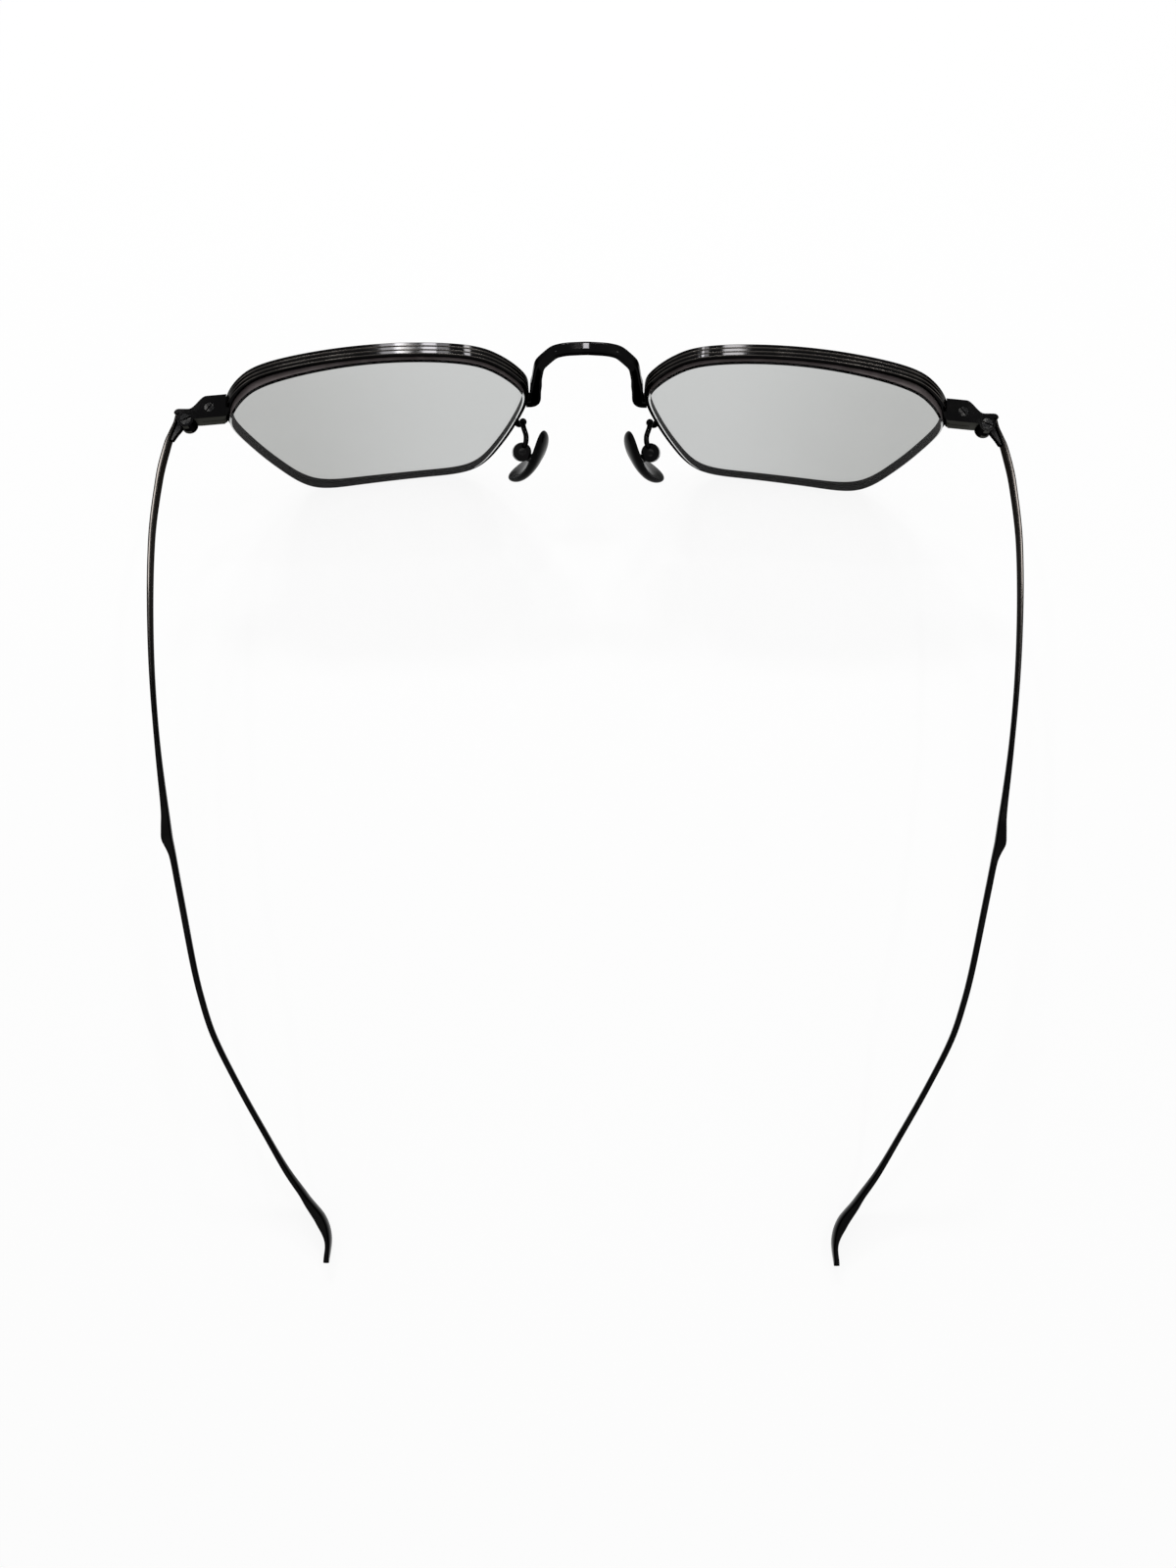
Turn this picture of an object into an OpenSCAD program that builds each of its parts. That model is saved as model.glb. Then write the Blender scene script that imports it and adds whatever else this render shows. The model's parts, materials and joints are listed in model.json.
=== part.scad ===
// Hexagonal eyeglasses: a metal full-rim frame with folding temples and rocking nose pads.
// They stand open on a table: the front looks towards -Y, the temples run to +Y, and the
// wearer's left side is at +X. The left side is modelled and the right side is its mirror image.

/* [Front] */
// Distance of each hinge pin outside the rim
hinge_out = 6.2; // [5.9:0.1:6.7]
// Distance between the centres of the two lenses
lens_spacing = 72; // [70.5:0.1:74]
// Height of the hinges over the centres of the lenses
hinge_rise = 7.4; // [7:0.1:8]
// Distance of the hinge pins behind the middle of the lenses
hinge_setback = 6.1; // [5.7:0.1:6.6]
// Forward lean of the front, top edge forward
front_tilt = 10; // [7:0.5:12]
// Sweep of each lens round the face
front_wrap = 4; // [2:0.5:6]

/* [Lens] */
// Corner of the lens next to the end piece, across and up from the lens centre
corner_temple = [25.7, 5.3]; // [-30:0.1:30]
// Upper corner on the temple side
corner_temple_top = [18.0, 14.2]; // [-30:0.1:30]
// Upper corner on the nose side
corner_nose_top = [-18.0, 16.0]; // [-30:0.1:30]
// Corner next to the bridge
corner_nose = [-26.1, 7.5]; // [-30:0.1:30]
// Lower corner on the nose side
corner_nose_low = [-14.9, -15.1]; // [-30:0.1:30]
// Lower corner on the temple side
corner_temple_low = [16.3, -16.5]; // [-30:0.1:30]
// How far each edge bows outwards between its corners
edge_bow = 1.0; // [0.6:0.1:1.6]
// Length of edge that each long side gives to the rounding of a corner
corner_round = 8.4; // [7.4:0.1:9.4]
// The same for the two short upper sides
corner_round_short = 3.6; // [3:0.1:4.2]
// Radius of the front face
lens_front_radius = 132; // [110:1:180]
// Radius of the rear face
lens_rear_radius = 97; // [85:1:105]
// Thickness at the optical centre
lens_centre = 2.4; // [2:0.1:2.8]
// Distance of the optical centre from the lens centre, towards the nose
lens_decentre = 1.8; // [0:0.1:3]
// Distance of the front face behind the front edge of the rim
lens_recess = 0.4; // [0.3:0.05:0.5]

/* [Rim] */
// Depth of the rim wire from front to back
rim_depth = 2.3; // [2.2:0.05:2.6]
// Thickness of the rim wire round the lens
rim_wall = 0.8; // [0.75:0.05:1]
// Depth of the two grooves that part the three ridges on the outside
ridge_depth = 0.15; // [0.1:0.05:0.2]
// Depth of the channel that holds the lens
channel_depth = 0.4; // [0.3:0.05:0.45]
// Width of the channel that holds the lens
channel_width = 0.8; // [0.7:0.05:0.9]
// Gap left where the lock screw draws the two ends of the rim together
rim_slit = 0.12; // [0.08:0.01:0.2]

/* [End piece and hinge] */
// Height of the end piece
end_height = 2.6; // [2.4:0.1:3]
// Distance of the end piece's front face ahead of the hinge pin
end_front = 4.2; // [4:0.1:4.6]
// Distance of the narrow nose's front face ahead of the hinge pin
nose_front = 1.8; // [1.75:0.05:2]
// Diameter of the hinge barrel
barrel_d = 2.8; // [2.7:0.05:2.9]
// Diameter of the hinge screw's shank
hinge_shank = 1.1; // [1:0.05:1.2]
// Diameter of the hinge screw's head
hinge_head = 1.9; // [1.7:0.05:2]
// Diameter of the rim lock screw's shank
lock_shank = 1.0; // [0.9:0.05:1.1]
// Diameter of the rim lock screw's head
lock_head = 1.65; // [1.5:0.05:1.8]
// Distance of the rim lock screw from the hinge pin, towards the lens
lock_inset = 3.9; // [3.7:0.1:4.2]
// Height of the middle knuckle of the hinge
knuckle = 0.9; // [0.8:0.05:1]

/* [Temple] */
// Distance of the ear bend behind the hinge pin
bend_at = 96.5; // [92:0.5:102]
// Distance of the temple's rear end behind the hinge pin
temple_reach = 139.7; // [136:0.1:145]
// Furthest that the temple's inner face bows out past the hinge pin
temple_bow = 4.25; // [3.5:0.05:5]
// How far the rear end lies inside the hinge pin
temple_inset = 25.2; // [22:0.1:27]
// Distance of the outer shoulder behind the hinge pin
shoulder_at = 71.2; // [68:0.2:76]
// Thickness of the front part
temple_wall = 0.72; // [0.65:0.01:0.9]
// Height of the front part
temple_height = 1.7; // [1.5:0.1:2.2]
// Thickness at the shoulder
shoulder_wall = 1.83; // [1.6:0.01:2.1]
// Thickness behind the shoulder
ear_wall = 0.92; // [0.8:0.01:1.1]
// Height behind the shoulder
ear_height = 1.9; // [1.7:0.05:2.2]
// Thickness of the paddle at the rear end
paddle_wall = 1.7; // [1.4:0.05:2]
// Height of the paddle
paddle_height = 4.2; // [3.6:0.1:5]

/* [Bridge] */
// Height of the bar over the hinge pins
bridge_rise = 8.0; // [7.5:0.1:8.6]
// Distance of the bar ahead of the hinge pins
bridge_front = 9.4; // [9:0.1:10]
// Gap between each foot's block and the rim beside it
leg_gap = 0.8; // [0.6:0.1:1.1]
// Width of the bridge bar
bridge_width = 1.7; // [1.5:0.05:1.9]
// Depth of the bridge bar from front to back
bridge_depth = 1.8; // [1.6:0.05:2]

/* [Nose pads] */
// Distance of a pad's centre from the root of its arm, towards the middle
pad_gap = 3.1; // [2.9:0.1:3.4]
// Distance of the pad centres behind the hinge pins
pad_back = 3; // [2.8:0.1:3.2]
// Distance of the pad centres below the hinge pins
pad_drop = 7.6; // [7.4:0.1:8]
// Angle of the pads seen from above
pad_splay = 30; // [27:0.5:33]
// Angle of the pads seen from the front
pad_flare = 19.5; // [17:0.5:22]
// Turn of the pads about their own face
pad_lean = 18; // [16:0.5:20]
// Length of a pad
pad_length = 14.6; // [13:0.2:15.4]
// Width of a pad
pad_width = 7; // [6:0.2:8]
// Thickness of a pad
pad_wall = 1.5; // [1.4:0.05:1.7]
// Diameter of the round box behind a pad
box_d = 3.2; // [3:0.05:3.4]
// Height of the round box
box_height = 2.6; // [2.4:0.05:2.8]
// Diameter of the pad screw's shank
pad_shank = 0.8; // [0.7:0.05:0.9]
// Diameter of the pad arm's wire
arm_wire = 0.9; // [0.8:0.05:1]

/* [Fits] */
// Radial running clearance of a screw in a bore that turns on it
running_gap = 0.03; // [0.02:0.005:0.05]
// Clearance of a screw in a bore that it only clamps
clamp_gap = 0.05; // [0.03:0.01:0.08]
// Gap between flat faces that slide on each other
face_gap = 0.05; // [0.04:0.01:0.08]
// Gap between two pieces that touch or are soldered together
joint_gap = 0.02; // [0.01:0.005:0.03]

/* [Hidden] */
metal = [0.10, 0.10, 0.11];
steel = [0.45, 0.45, 0.47];
tint = [0.62, 0.64, 0.66, 0.6];
pad_black = [0.05, 0.05, 0.06];
round_fn = 48;
ball_fn = 360;
reach = temple_reach;

// Vectors
function unit(v) = v / norm(v);
function turn_x(p, a) = [p[0], p[1] * cos(a) - p[2] * sin(a), p[1] * sin(a) + p[2] * cos(a)];
function turn_y(p, a) = [p[0] * cos(a) + p[2] * sin(a), p[1], p[2] * cos(a) - p[0] * sin(a)];
function turn_z(p, a) = [p[0] * cos(a) - p[1] * sin(a), p[0] * sin(a) + p[1] * cos(a), p[2]];

// Outline of the lens: a closed cubic spline whose control points come from the six corners
corners = [
    corner_temple, corner_temple_top, corner_nose_top, corner_nose, corner_nose_low, corner_temple_low
];
rounds = [
    corner_round_short, corner_round, corner_round_short, corner_round, corner_round, corner_round
];
function edge_controls(a, b, r) =
    let (d = unit(b - a), bow = edge_bow * [d[1], -d[0]], f = r / norm(b - a), near = 4 * f * (1 - f) * bow)
    [a, a + r * d + near, (a + b) / 2 + bow, b - r * d + near];
edges = len(corners);
controls = [for (k = [0:edges - 1]) each edge_controls(corners[k], corners[(k + 1) % edges], rounds[k])];
spans = len(controls);
edge_parts = spans / edges;
function outline(t) =
    let (i = floor(t), f = t - i, n = spans,
         a = controls[(i + n - 1) % n], b = controls[i % n],
         c = controls[(i + 1) % n], d = controls[(i + 2) % n])
    (pow(1 - f, 3) * a + (3 * pow(f, 3) - 6 * f * f + 4) * b
     + (1 + 3 * f + 3 * f * f - 3 * pow(f, 3)) * c + pow(f, 3) * d) / 6;
function outline_step(t) = (outline(t + 0.02) - outline(t - 0.02 + spans)) / 0.04;
function outward(t) = let (d = unit(outline_step(t))) [d[1], -d[0]];

// Places on the front: out is measured from the lens edge outwards, back from the rim's middle
lens_middle = [lens_spacing / 2, -hinge_setback, -hinge_rise];
function sag(q) = lens_front_radius - sqrt(pow(lens_front_radius, 2) - q * q);
function lens_to_frame(p) = lens_middle + turn_z(turn_x(p, front_tilt), front_wrap);
function front_point(t, out, back) =
    let (q = outline(t), e = q + out * outward(t))
    lens_to_frame([e[0], sag(q) + back, e[1]]);
function find_height(lo, hi, z, out, back, steps) =
    let (m = (lo + hi) / 2)
    steps == 0 ? m
    : front_point(m, out, back)[2] > z == front_point(lo, out, back)[2] > z
        ? find_height(m, hi, z, out, back, steps - 1)
        : find_height(lo, m, z, out, back, steps - 1);
temple_to = spans + edge_parts;
nose_from = 3 * edge_parts;
nose_to = 4 * edge_parts;
slit_at = find_height(spans, temple_to, 0, rim_wall, 0, 16) - spans;
slit_half = rim_slit / 2 / norm(outline_step(slit_at));
stations = 96;
function station(i) = slit_at + spans * i / stations;
function rim_station(i) = station(i) + (i == 0 ? slit_half : i == stations ? -slit_half : 0);

// Section of the rim wire: three ridges outside, the lens channel inside
half_depth = rim_depth / 2;
chamfer = 0.15;
ridge_half = rim_depth / 6;
groove_half = 0.16;
rim_section = [
    [0, -half_depth], [0, -channel_width / 2], [channel_depth, -channel_width / 2],
    [channel_depth, channel_width / 2], [0, channel_width / 2], [0, half_depth],
    [rim_wall - chamfer, half_depth], [rim_wall, half_depth - chamfer],
    [rim_wall, ridge_half + groove_half], [rim_wall - ridge_depth, ridge_half],
    [rim_wall, ridge_half - groove_half], [rim_wall, -ridge_half + groove_half],
    [rim_wall - ridge_depth, -ridge_half], [rim_wall, -ridge_half - groove_half],
    [rim_wall, -half_depth + chamfer], [rim_wall - chamfer, -half_depth]
];

// A swept solid from rings of points, closed by flat ends
function ring_faces(rings, sides) = [
    for (i = [0:rings - 2], j = [0:sides - 1])
        let (a = i * sides + j, b = i * sides + (j + 1) % sides)
        each [[a, b, b + sides], [a, b + sides, a + sides]]
];
module sweep(rings) {
    sides = len(rings[0]);
    last = (len(rings) - 1) * sides;
    polyhedron(
        points = [for (r = rings) each r],
        faces = concat(
            [[for (j = [sides - 1:-1:0]) j]],
            ring_faces(len(rings), sides),
            [[for (j = [0:sides - 1]) last + j]]
        )
    );
}

// A bent bar: each ring lies in the plane that halves its bend, so straight runs keep their section
function bent_ring(path, i, section, ref, first, last) =
    let (n = len(path),
         into = unit(i == 0 ? path[1] - path[0] : path[i] - path[i - 1]),
         onward = unit(i == n - 1 ? path[i] - path[i - 1] : path[i + 1] - path[i]),
         plane = i == 0 && first != undef ? first
             : i == n - 1 && last != undef ? last : unit(into + onward),
         across = unit(ref - (ref * into) * into), side = cross(into, across))
    [for (s = section)
        let (v = s[0] * side + s[1] * across)
        path[i] + v - (v * plane) / (into * plane) * into];
module bent_bar(path, sections, ref, first = undef, last = undef) {
    sweep([for (i = [0:len(path) - 1]) bent_ring(path, i, sections[i], ref, first, last)]);
}
function soft_rectangle(w, h, r) = [
    for (q = [0:3])
        let (sx = q == 0 || q == 3 ? 1 : -1, sy = q < 2 ? 1 : -1)
        for (a = [0, 45, 90])
            [sx * (w / 2 - r), sy * (h / 2 - r)] + r * [cos(90 * q + a), sin(90 * q + a)]
];
function oval(w, h, sides) = [
    for (j = [0:sides - 1]) [w / 2 * cos(360 * j / sides), h / 2 * sin(360 * j / sides)]
];

// A value read from a table of [place, value] rows and joined by smooth cubics
function slope(t, i) =
    let (n = len(t) - 1, a = max(i - 1, 0), b = min(i + 1, n))
    (t[b][1] - t[a][1]) / (t[b][0] - t[a][0]);
function row_of(t, x, i = 0) = i >= len(t) - 2 || x < t[i + 1][0] ? i : row_of(t, x, i + 1);
function smooth(t, x) =
    let (i = row_of(t, x), w = t[i + 1][0] - t[i][0], f = (x - t[i][0]) / w)
    t[i][1] * (1 + 2 * f) * pow(1 - f, 2) + slope(t, i) * w * f * pow(1 - f, 2)
    + t[i + 1][1] * f * f * (3 - 2 * f) + slope(t, i + 1) * w * f * f * (f - 1);

// Height of the table under the hinge pins: the lowest point of the rims
rim_rings = [for (i = [0:stations]) [for (s = rim_section) front_point(rim_station(i), s[0], s[1])]];
rim_low = min([for (r = rim_rings) for (p = r) p[2]]);
rim_front = min([for (r = rim_rings) for (p = r) p[1]]);
stand = -rim_low;

// Hinge
pin_x = front_point(slit_at, rim_wall, 0)[0] + hinge_out;
barrel_r = barrel_d / 2;
half_height = end_height / 2;
sweep_r = barrel_r + 0.1;
stop_y = -1.0;
tail_inset = 2.65;

// Temple: its inner face, thickness, height and level along its length, from the hinge pin back
ear = temple_reach - bend_at;
temple_x = [
    [stop_y, barrel_r + 0.05], [0.5, barrel_r + 0.35], [2, barrel_r + 0.9], [4, barrel_r + 1.3],
    [0.105 * bend_at, 0.87 * temple_bow],
    [0.22 * bend_at, temple_bow], [0.395 * bend_at, 0.757 * temple_bow], [0.56 * bend_at, 0.264 * temple_bow],
    [0.727 * bend_at, -0.084 * temple_inset], [0.87 * bend_at, -0.218 * temple_inset],
    [0.99 * bend_at, -0.333 * temple_inset], [bend_at + 0.116 * ear, -0.391 * temple_inset],
    [bend_at + 0.28 * ear, -0.49 * temple_inset], [bend_at + 0.465 * ear, -0.616 * temple_inset],
    [bend_at + 0.63 * ear, -0.743 * temple_inset], [bend_at + 0.745 * ear, -0.867 * temple_inset],
    [bend_at + 0.825 * ear, -0.968 * temple_inset], [bend_at + 0.907 * ear, -1.007 * temple_inset],
    [temple_reach, -temple_inset]
];
temple_w = [
    [stop_y, 0.55], [3, temple_wall], [shoulder_at - 20, temple_wall],
    [shoulder_at - 9, temple_wall + 0.25], [shoulder_at - 4.5, temple_wall + 0.5],
    [shoulder_at - 2, shoulder_wall - 0.2], [shoulder_at - 0.3, shoulder_wall],
    [shoulder_at + 1.2, shoulder_wall - 0.5], [shoulder_at + 2.4, ear_wall + 0.1],
    [shoulder_at + 5, ear_wall], [bend_at + 0.7 * ear, ear_wall],
    [bend_at + 0.82 * ear, paddle_wall], [bend_at + 0.91 * ear, ear_wall + 0.1],
    [temple_reach, ear_wall + 0.1]
];
temple_h = [
    [stop_y, 1.9], [12, 1.9], [28, temple_height], [shoulder_at - 21, temple_height],
    [shoulder_at - 9, temple_height + 0.1], [shoulder_at, temple_height + 0.5],
    [shoulder_at + 3.5, ear_height],
    [bend_at + 0.51 * ear, ear_height], [bend_at + 0.72 * ear, 0.86 * paddle_height],
    [bend_at + 0.79 * ear, paddle_height], [bend_at + 0.884 * ear, paddle_height],
    [bend_at + 0.953 * ear, 0.76 * paddle_height], [temple_reach, 0.52 * paddle_height]
];
tip_level = rim_low + 0.44 * paddle_height;
temple_z = [
    [stop_y, 0], [0.907 * bend_at, 0], [0.98 * bend_at, 0.027 * tip_level],
    [bend_at + 0.093 * ear, 0.13 * tip_level],
    [bend_at + 0.28 * ear, 0.35 * tip_level], [bend_at + 0.58 * ear, 0.73 * tip_level],
    [bend_at + 0.81 * ear, 0.945 * tip_level], [bend_at + 0.93 * ear, tip_level], [temple_reach, tip_level]
];
tip_round = 1.2;
temple_rows = concat(
    [stop_y, -0.4, 0.4, 1.2, 2.4, 4], [for (y = [6.5:3.3:shoulder_at - 11]) y],
    [for (d = [-9, -6.7, -4.5, -3.2, -2, -1.1, -0.3, 0.4, 1.2, 1.8, 2.4, 3.5, 5]) shoulder_at + d],
    [for (y = [shoulder_at + 8:3.3:bend_at - 3]) y],
    [for (y = [bend_at - 1:2:bend_at + 0.6 * ear]) y],
    [for (f = [0.63:0.03:0.96]) bend_at + f * ear],
    [temple_reach - tip_round, temple_reach - 0.4, temple_reach]
);
temple_sides = 16;
function temple_inner(y) = [smooth(temple_x, y), y, smooth(temple_z, y)];
function temple_ring(y) =
    let (along = y == stop_y ? [0, 1, 0] : unit(temple_inner(y + 0.3) - temple_inner(y - 0.3)),
         side = unit(cross(along, [0, 0, 1])), up = cross(side, along),
         w = smooth(temple_w, y), left = temple_reach - y,
         near_end = left < tip_round ? sqrt(1 - 0.8 * pow(1 - left / tip_round, 2)) : 1)
    [for (s = oval(w, smooth(temple_h, y) * near_end, temple_sides))
        temple_inner(y) + (s[0] + w / 2) * side + s[1] * up];
temple_rings = [for (y = temple_rows) temple_ring(y)];
temple_back = max([for (p = temple_rings[len(temple_rings) - 1]) p[1]]);
middle_y = (rim_front + temple_back) / 2;

// Bridge path on one side, from the rim to the middle, and how much the foot's block is thicker
foot_z = -3.2;
foot_at = find_height(nose_from, nose_to, foot_z, rim_wall, 0, 16);
foot_root = front_point(foot_at, rim_wall + joint_gap, 0);
foot_face = turn_z(turn_x([outward(foot_at)[0], 0, outward(foot_at)[1]], front_tilt), front_wrap);
foot_growth = 1.15;
leg_x = foot_root[0] - leg_gap - foot_growth * bridge_width / 2;
leg_y = foot_root[1];
bridge_path = [
    foot_root, [leg_x + 0.7, leg_y, foot_z], [leg_x + 0.17, leg_y - 0.15, foot_z + 0.7],
    [leg_x + 0.05, leg_y - 0.5, -0.1], [leg_x, leg_y - 0.6, 0.3], [leg_x - 0.4, leg_y - 1.4, 3.0],
    [leg_x - 0.75, -bridge_front + 1.4, bridge_rise - 3.1],
    [leg_x - 1.15, -bridge_front + 1.2, bridge_rise - 2.4],
    [leg_x - 2.9, -bridge_front + 0.55, bridge_rise - 0.75],
    [leg_x - 3.7, -bridge_front + 0.3, bridge_rise - 0.4],
    [leg_x - 5.3, -bridge_front + 0.1, bridge_rise - 0.15],
    [0, -bridge_front, bridge_rise]
];
foot_rows = 4;

// Nose pad places, seen from the pad screw: x to the lens, z along the screw
arm_root_z = -7.5;
arm_over = arm_wire / 2 + 0.08;
arm_at = find_height(nose_from, nose_to, arm_root_z, arm_over, half_depth, 16);
arm_root = front_point(arm_at, arm_over, half_depth + joint_gap);
arm_out = unit(cross(front_point(arm_at - 0.02, 0, 0) - front_point(arm_at + 0.02, 0, 0),
    front_point(arm_at, 0, 0) - front_point(arm_at, 1, 0)));
pad_middle = [arm_root[0] - pad_gap, pad_back, -pad_drop];
pad_turns = [pad_lean, -pad_flare, -pad_splay];
screw_lean = 35;
box_gap = 0.25;
box_off = pad_wall / 2 + box_gap + box_d / 2;
function pad_to_frame(p) =
    pad_middle + turn_z(turn_y(turn_x(p, pad_lean), -pad_flare), -pad_splay);
function box_to_frame(p) = pad_to_frame([box_off, 0, 0] + turn_x(p, -screw_lean));
box_top = box_to_frame([0.3, -box_d / 2 + arm_wire / 2 + 0.06, box_height / 2 + joint_gap]);
box_axis = unit(box_to_frame([0, 0, 1]) - box_to_frame([0, 0, 0]));
arm_path = [
    arm_root, arm_root + 0.7 * arm_out, arm_root + [-0.4, 1.15, 0.7], arm_root + [-0.85, 1.4, 1.8],
    arm_root + [-1.25, 1.6, 2.7], arm_root + [-1.45, 2.2, 3.1], arm_root + [-1.6, 3.2, 3.5],
    box_top + [-0.15, -1.35, 1.4], box_top + [-0.2, -0.55, 1.5], box_top + [-0.2, 0, 1.35],
    box_top + [-0.15, 0.25, 0.95], box_top + 0.55 * box_axis, box_top
];
ball_d = 1.3;

module placed() {
    translate([0, -middle_y, stand]) children();
}
module both_sides(side) {
    if (side == "left") placed() children();
    if (side == "right") placed() mirror([1, 0, 0]) children();
}
module in_lens() {
    translate(lens_middle) rotate([front_tilt, 0, front_wrap]) children();
}
module at_hinge() {
    translate([pin_x, 0, 0]) children();
}
module in_pad() {
    translate(pad_middle) rotate(pad_turns) children();
}
module in_box() {
    in_pad() translate([box_off, 0, 0]) rotate([-screw_lean, 0, 0]) children();
}

// Fasteners: a slotted screw, head up, with its head's top face at zero
module slotted_screw(head_d, head_h, shank_d, length, slot_w, slot_h) {
    difference() {
        union() {
            translate([0, 0, -head_h]) cylinder(d = head_d, h = head_h, $fn = round_fn);
            translate([0, 0, -length]) cylinder(d = shank_d, h = length - head_h / 2, $fn = round_fn);
        }
        translate([-head_d, -slot_w / 2, -slot_h]) cube([2 * head_d, slot_w, 2 * slot_h]);
    }
}

module rim(side) {
    color(metal) both_sides(side) sweep(rim_rings);
}

// The lens is cut from its two spheres and stands in the channel on a narrow tongue
tongue_out = channel_depth - 0.12;
tongue_half = channel_width / 2 - 0.12;
module lens_edge(out) {
    points = [for (i = [0:stations - 1]) outline(station(i)) + out * outward(station(i))];
    translate([0, 12, 0]) rotate([90, 0, 0]) linear_extrude(24) polygon(points);
}
module front_ball(back) {
    translate([0, back + lens_front_radius, 0]) sphere(r = lens_front_radius, $fn = ball_fn);
}
module lens(side) {
    front_face = lens_recess - half_depth;
    color(tint) both_sides(side) in_lens() union() {
        difference() {
            intersection() {
                lens_edge(-joint_gap);
                front_ball(front_face);
            }
            translate([-lens_decentre, front_face + lens_centre + lens_rear_radius, 0])
                sphere(r = lens_rear_radius, $fn = ball_fn);
        }
        difference() {
            intersection() {
                lens_edge(tongue_out);
                front_ball(-tongue_half);
            }
            front_ball(tongue_half);
            lens_edge(-0.6);
        }
    }
}

// Everything on the temple side of the rim's outer face at one height, as a tilted half space
module outside_rim(z) {
    t = find_height(spans, temple_to, z, rim_wall, 0, 16);
    q = outline(t) + (rim_wall + joint_gap) * outward(t);
    angle = atan2(outward(t)[1], outward(t)[0]);
    in_lens() translate([q[0], 0, q[1]]) rotate([0, -angle, 0]) translate([0, -reach / 2, -reach / 2])
        cube([reach, reach, reach]);
}
// Plan of the end piece about the hinge pin: a broad plate, an S-curved front edge and a narrow nose
plate_end = -9;
plate_lean = 0.1;
bend_from = -3.4;
bend_to = -0.4;
nose_x = barrel_r + 0.55;
nose_back = stop_y - face_gap;
nose_round = nose_front + nose_back;
function s_curve(f) = [
    bend_from + (bend_to - bend_from) * f, -end_front + (end_front - nose_front) * (1 - cos(180 * f)) / 2
];
module end_plan() {
    steps = 10;
    polygon(concat(
        [[plate_end, -end_front + plate_lean * (plate_end - bend_from)]],
        [for (i = [0:steps]) s_curve(i / steps)],
        [for (a = [-90:22.5:0]) [nose_x - nose_round, nose_back] + nose_round * [cos(a), sin(a)]],
        [[0.6, nose_back], [0, 0], [-2, -0.05], [plate_end, -0.05 + plate_lean * (plate_end + 2)]]
    ));
}
module tail_plan() {
    intersection() {
        end_plan();
        translate([plate_end, -reach / 2]) square([-plate_end - tail_inset, reach]);
    }
}
head_sink = 0.05;
lock_y = -2.2;
lock_head_h = 0.45;
hinge_head_h = 0.4;
module lock_hole(d, bottom) {
    translate([-lock_inset, lock_y, bottom]) cylinder(d = d, h = end_height, $fn = round_fn);
}
module end_piece(side) {
    middle = knuckle + 2 * face_gap;
    color(metal) both_sides(side) difference() {
        at_hinge() difference() {
            union() {
                translate([0, 0, -half_height]) linear_extrude(end_height) end_plan();
                translate([0, 0, -half_height]) cylinder(r = barrel_r, h = end_height, $fn = round_fn);
            }
            translate([0, 0, -middle / 2]) cylinder(r = sweep_r, h = middle, $fn = round_fn);
            translate([plate_end - 1, -reach / 2, -half_height - 1])
                cube([-plate_end + 1 - tail_inset + joint_gap, reach, half_height + 1 + rim_slit / 2]);
            translate([0, 0, -end_height])
                cylinder(d = hinge_shank + 2 * clamp_gap, h = 2 * end_height, $fn = round_fn);
            translate([0, 0, half_height - hinge_head_h - head_sink])
                cylinder(d = hinge_head + 2 * clamp_gap, h = end_height, $fn = round_fn);
            lock_hole(lock_shank + 2 * clamp_gap, -half_height);
            lock_hole(lock_head + 2 * clamp_gap, half_height - lock_head_h - head_sink);
        }
        difference() {
            translate([0, -reach / 2, -reach / 2]) cube([pin_x - 2, reach, reach]);
            outside_rim(half_height / 2);
        }
    }
}
module closing_block(side) {
    color(metal) both_sides(side) intersection() {
        at_hinge() difference() {
            translate([0, 0, -half_height]) linear_extrude(half_height - rim_slit / 2) tail_plan();
            lock_hole(lock_shank + 2 * joint_gap, -2 * half_height);
        }
        outside_rim(-half_height / 2);
    }
}
module rim_screw(side) {
    color(steel) both_sides(side) at_hinge()
        translate([-lock_inset, lock_y, half_height - head_sink]) rotate([0, 0, 55])
            slotted_screw(lock_head, lock_head_h, lock_shank, end_height - head_sink, 0.25, 0.2);
}
module hinge_screw(side) {
    color(steel) both_sides(side) at_hinge()
        translate([0, 0, half_height - head_sink]) rotate([0, 0, 25])
            slotted_screw(hinge_head, hinge_head_h, hinge_shank, end_height - head_sink, 0.3, 0.22);
}

module temple(side) {
    color(metal) both_sides(side) at_hinge() sweep(temple_rings);
}
// The temple's half of the hinge: a bored barrel on a leaf that lies along the temple's inner face
leaf_wall = 0.8;
leaf_end = 3.4;
module temple_knuckle(side) {
    rows = [-0.4, 0.4, 1.2, 2.4, leaf_end];
    outer = [for (y = rows) [temple_inner(y)[0] - joint_gap, y]];
    inner = [[temple_inner(leaf_end)[0] - leaf_wall / 2, leaf_end], [temple_inner(2.4)[0] - leaf_wall, 2.4]];
    color(metal) both_sides(side) at_hinge() difference() {
        union() {
            translate([0, 0, -knuckle / 2]) cylinder(r = barrel_r, h = knuckle, $fn = round_fn);
            translate([0, 0, -knuckle / 2]) linear_extrude(knuckle)
                polygon(concat(outer, inner, [[0.6, 1.0], [0, 0], [0.6, -0.4]]));
        }
        translate([0, 0, -knuckle])
            cylinder(d = hinge_shank + 2 * running_gap, h = 2 * knuckle, $fn = round_fn);
    }
}

module bridge() {
    section = soft_rectangle(bridge_width, bridge_depth, 0.45);
    last = len(bridge_path) - 1;
    half = [for (i = [0:last - 1]) bridge_path[i]];
    other = [for (i = [last - 1:-1:0]) [-half[i][0], half[i][1], half[i][2]]];
    sections = [for (i = [0:2 * last]) (min(i, 2 * last - i) < foot_rows ? foot_growth : 1) * section];
    color(metal) placed()
        bent_bar(concat(half, [bridge_path[last]], other), sections, [0, 1, 0],
            foot_face, [-foot_face[0], foot_face[1], foot_face[2]]);
}

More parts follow.
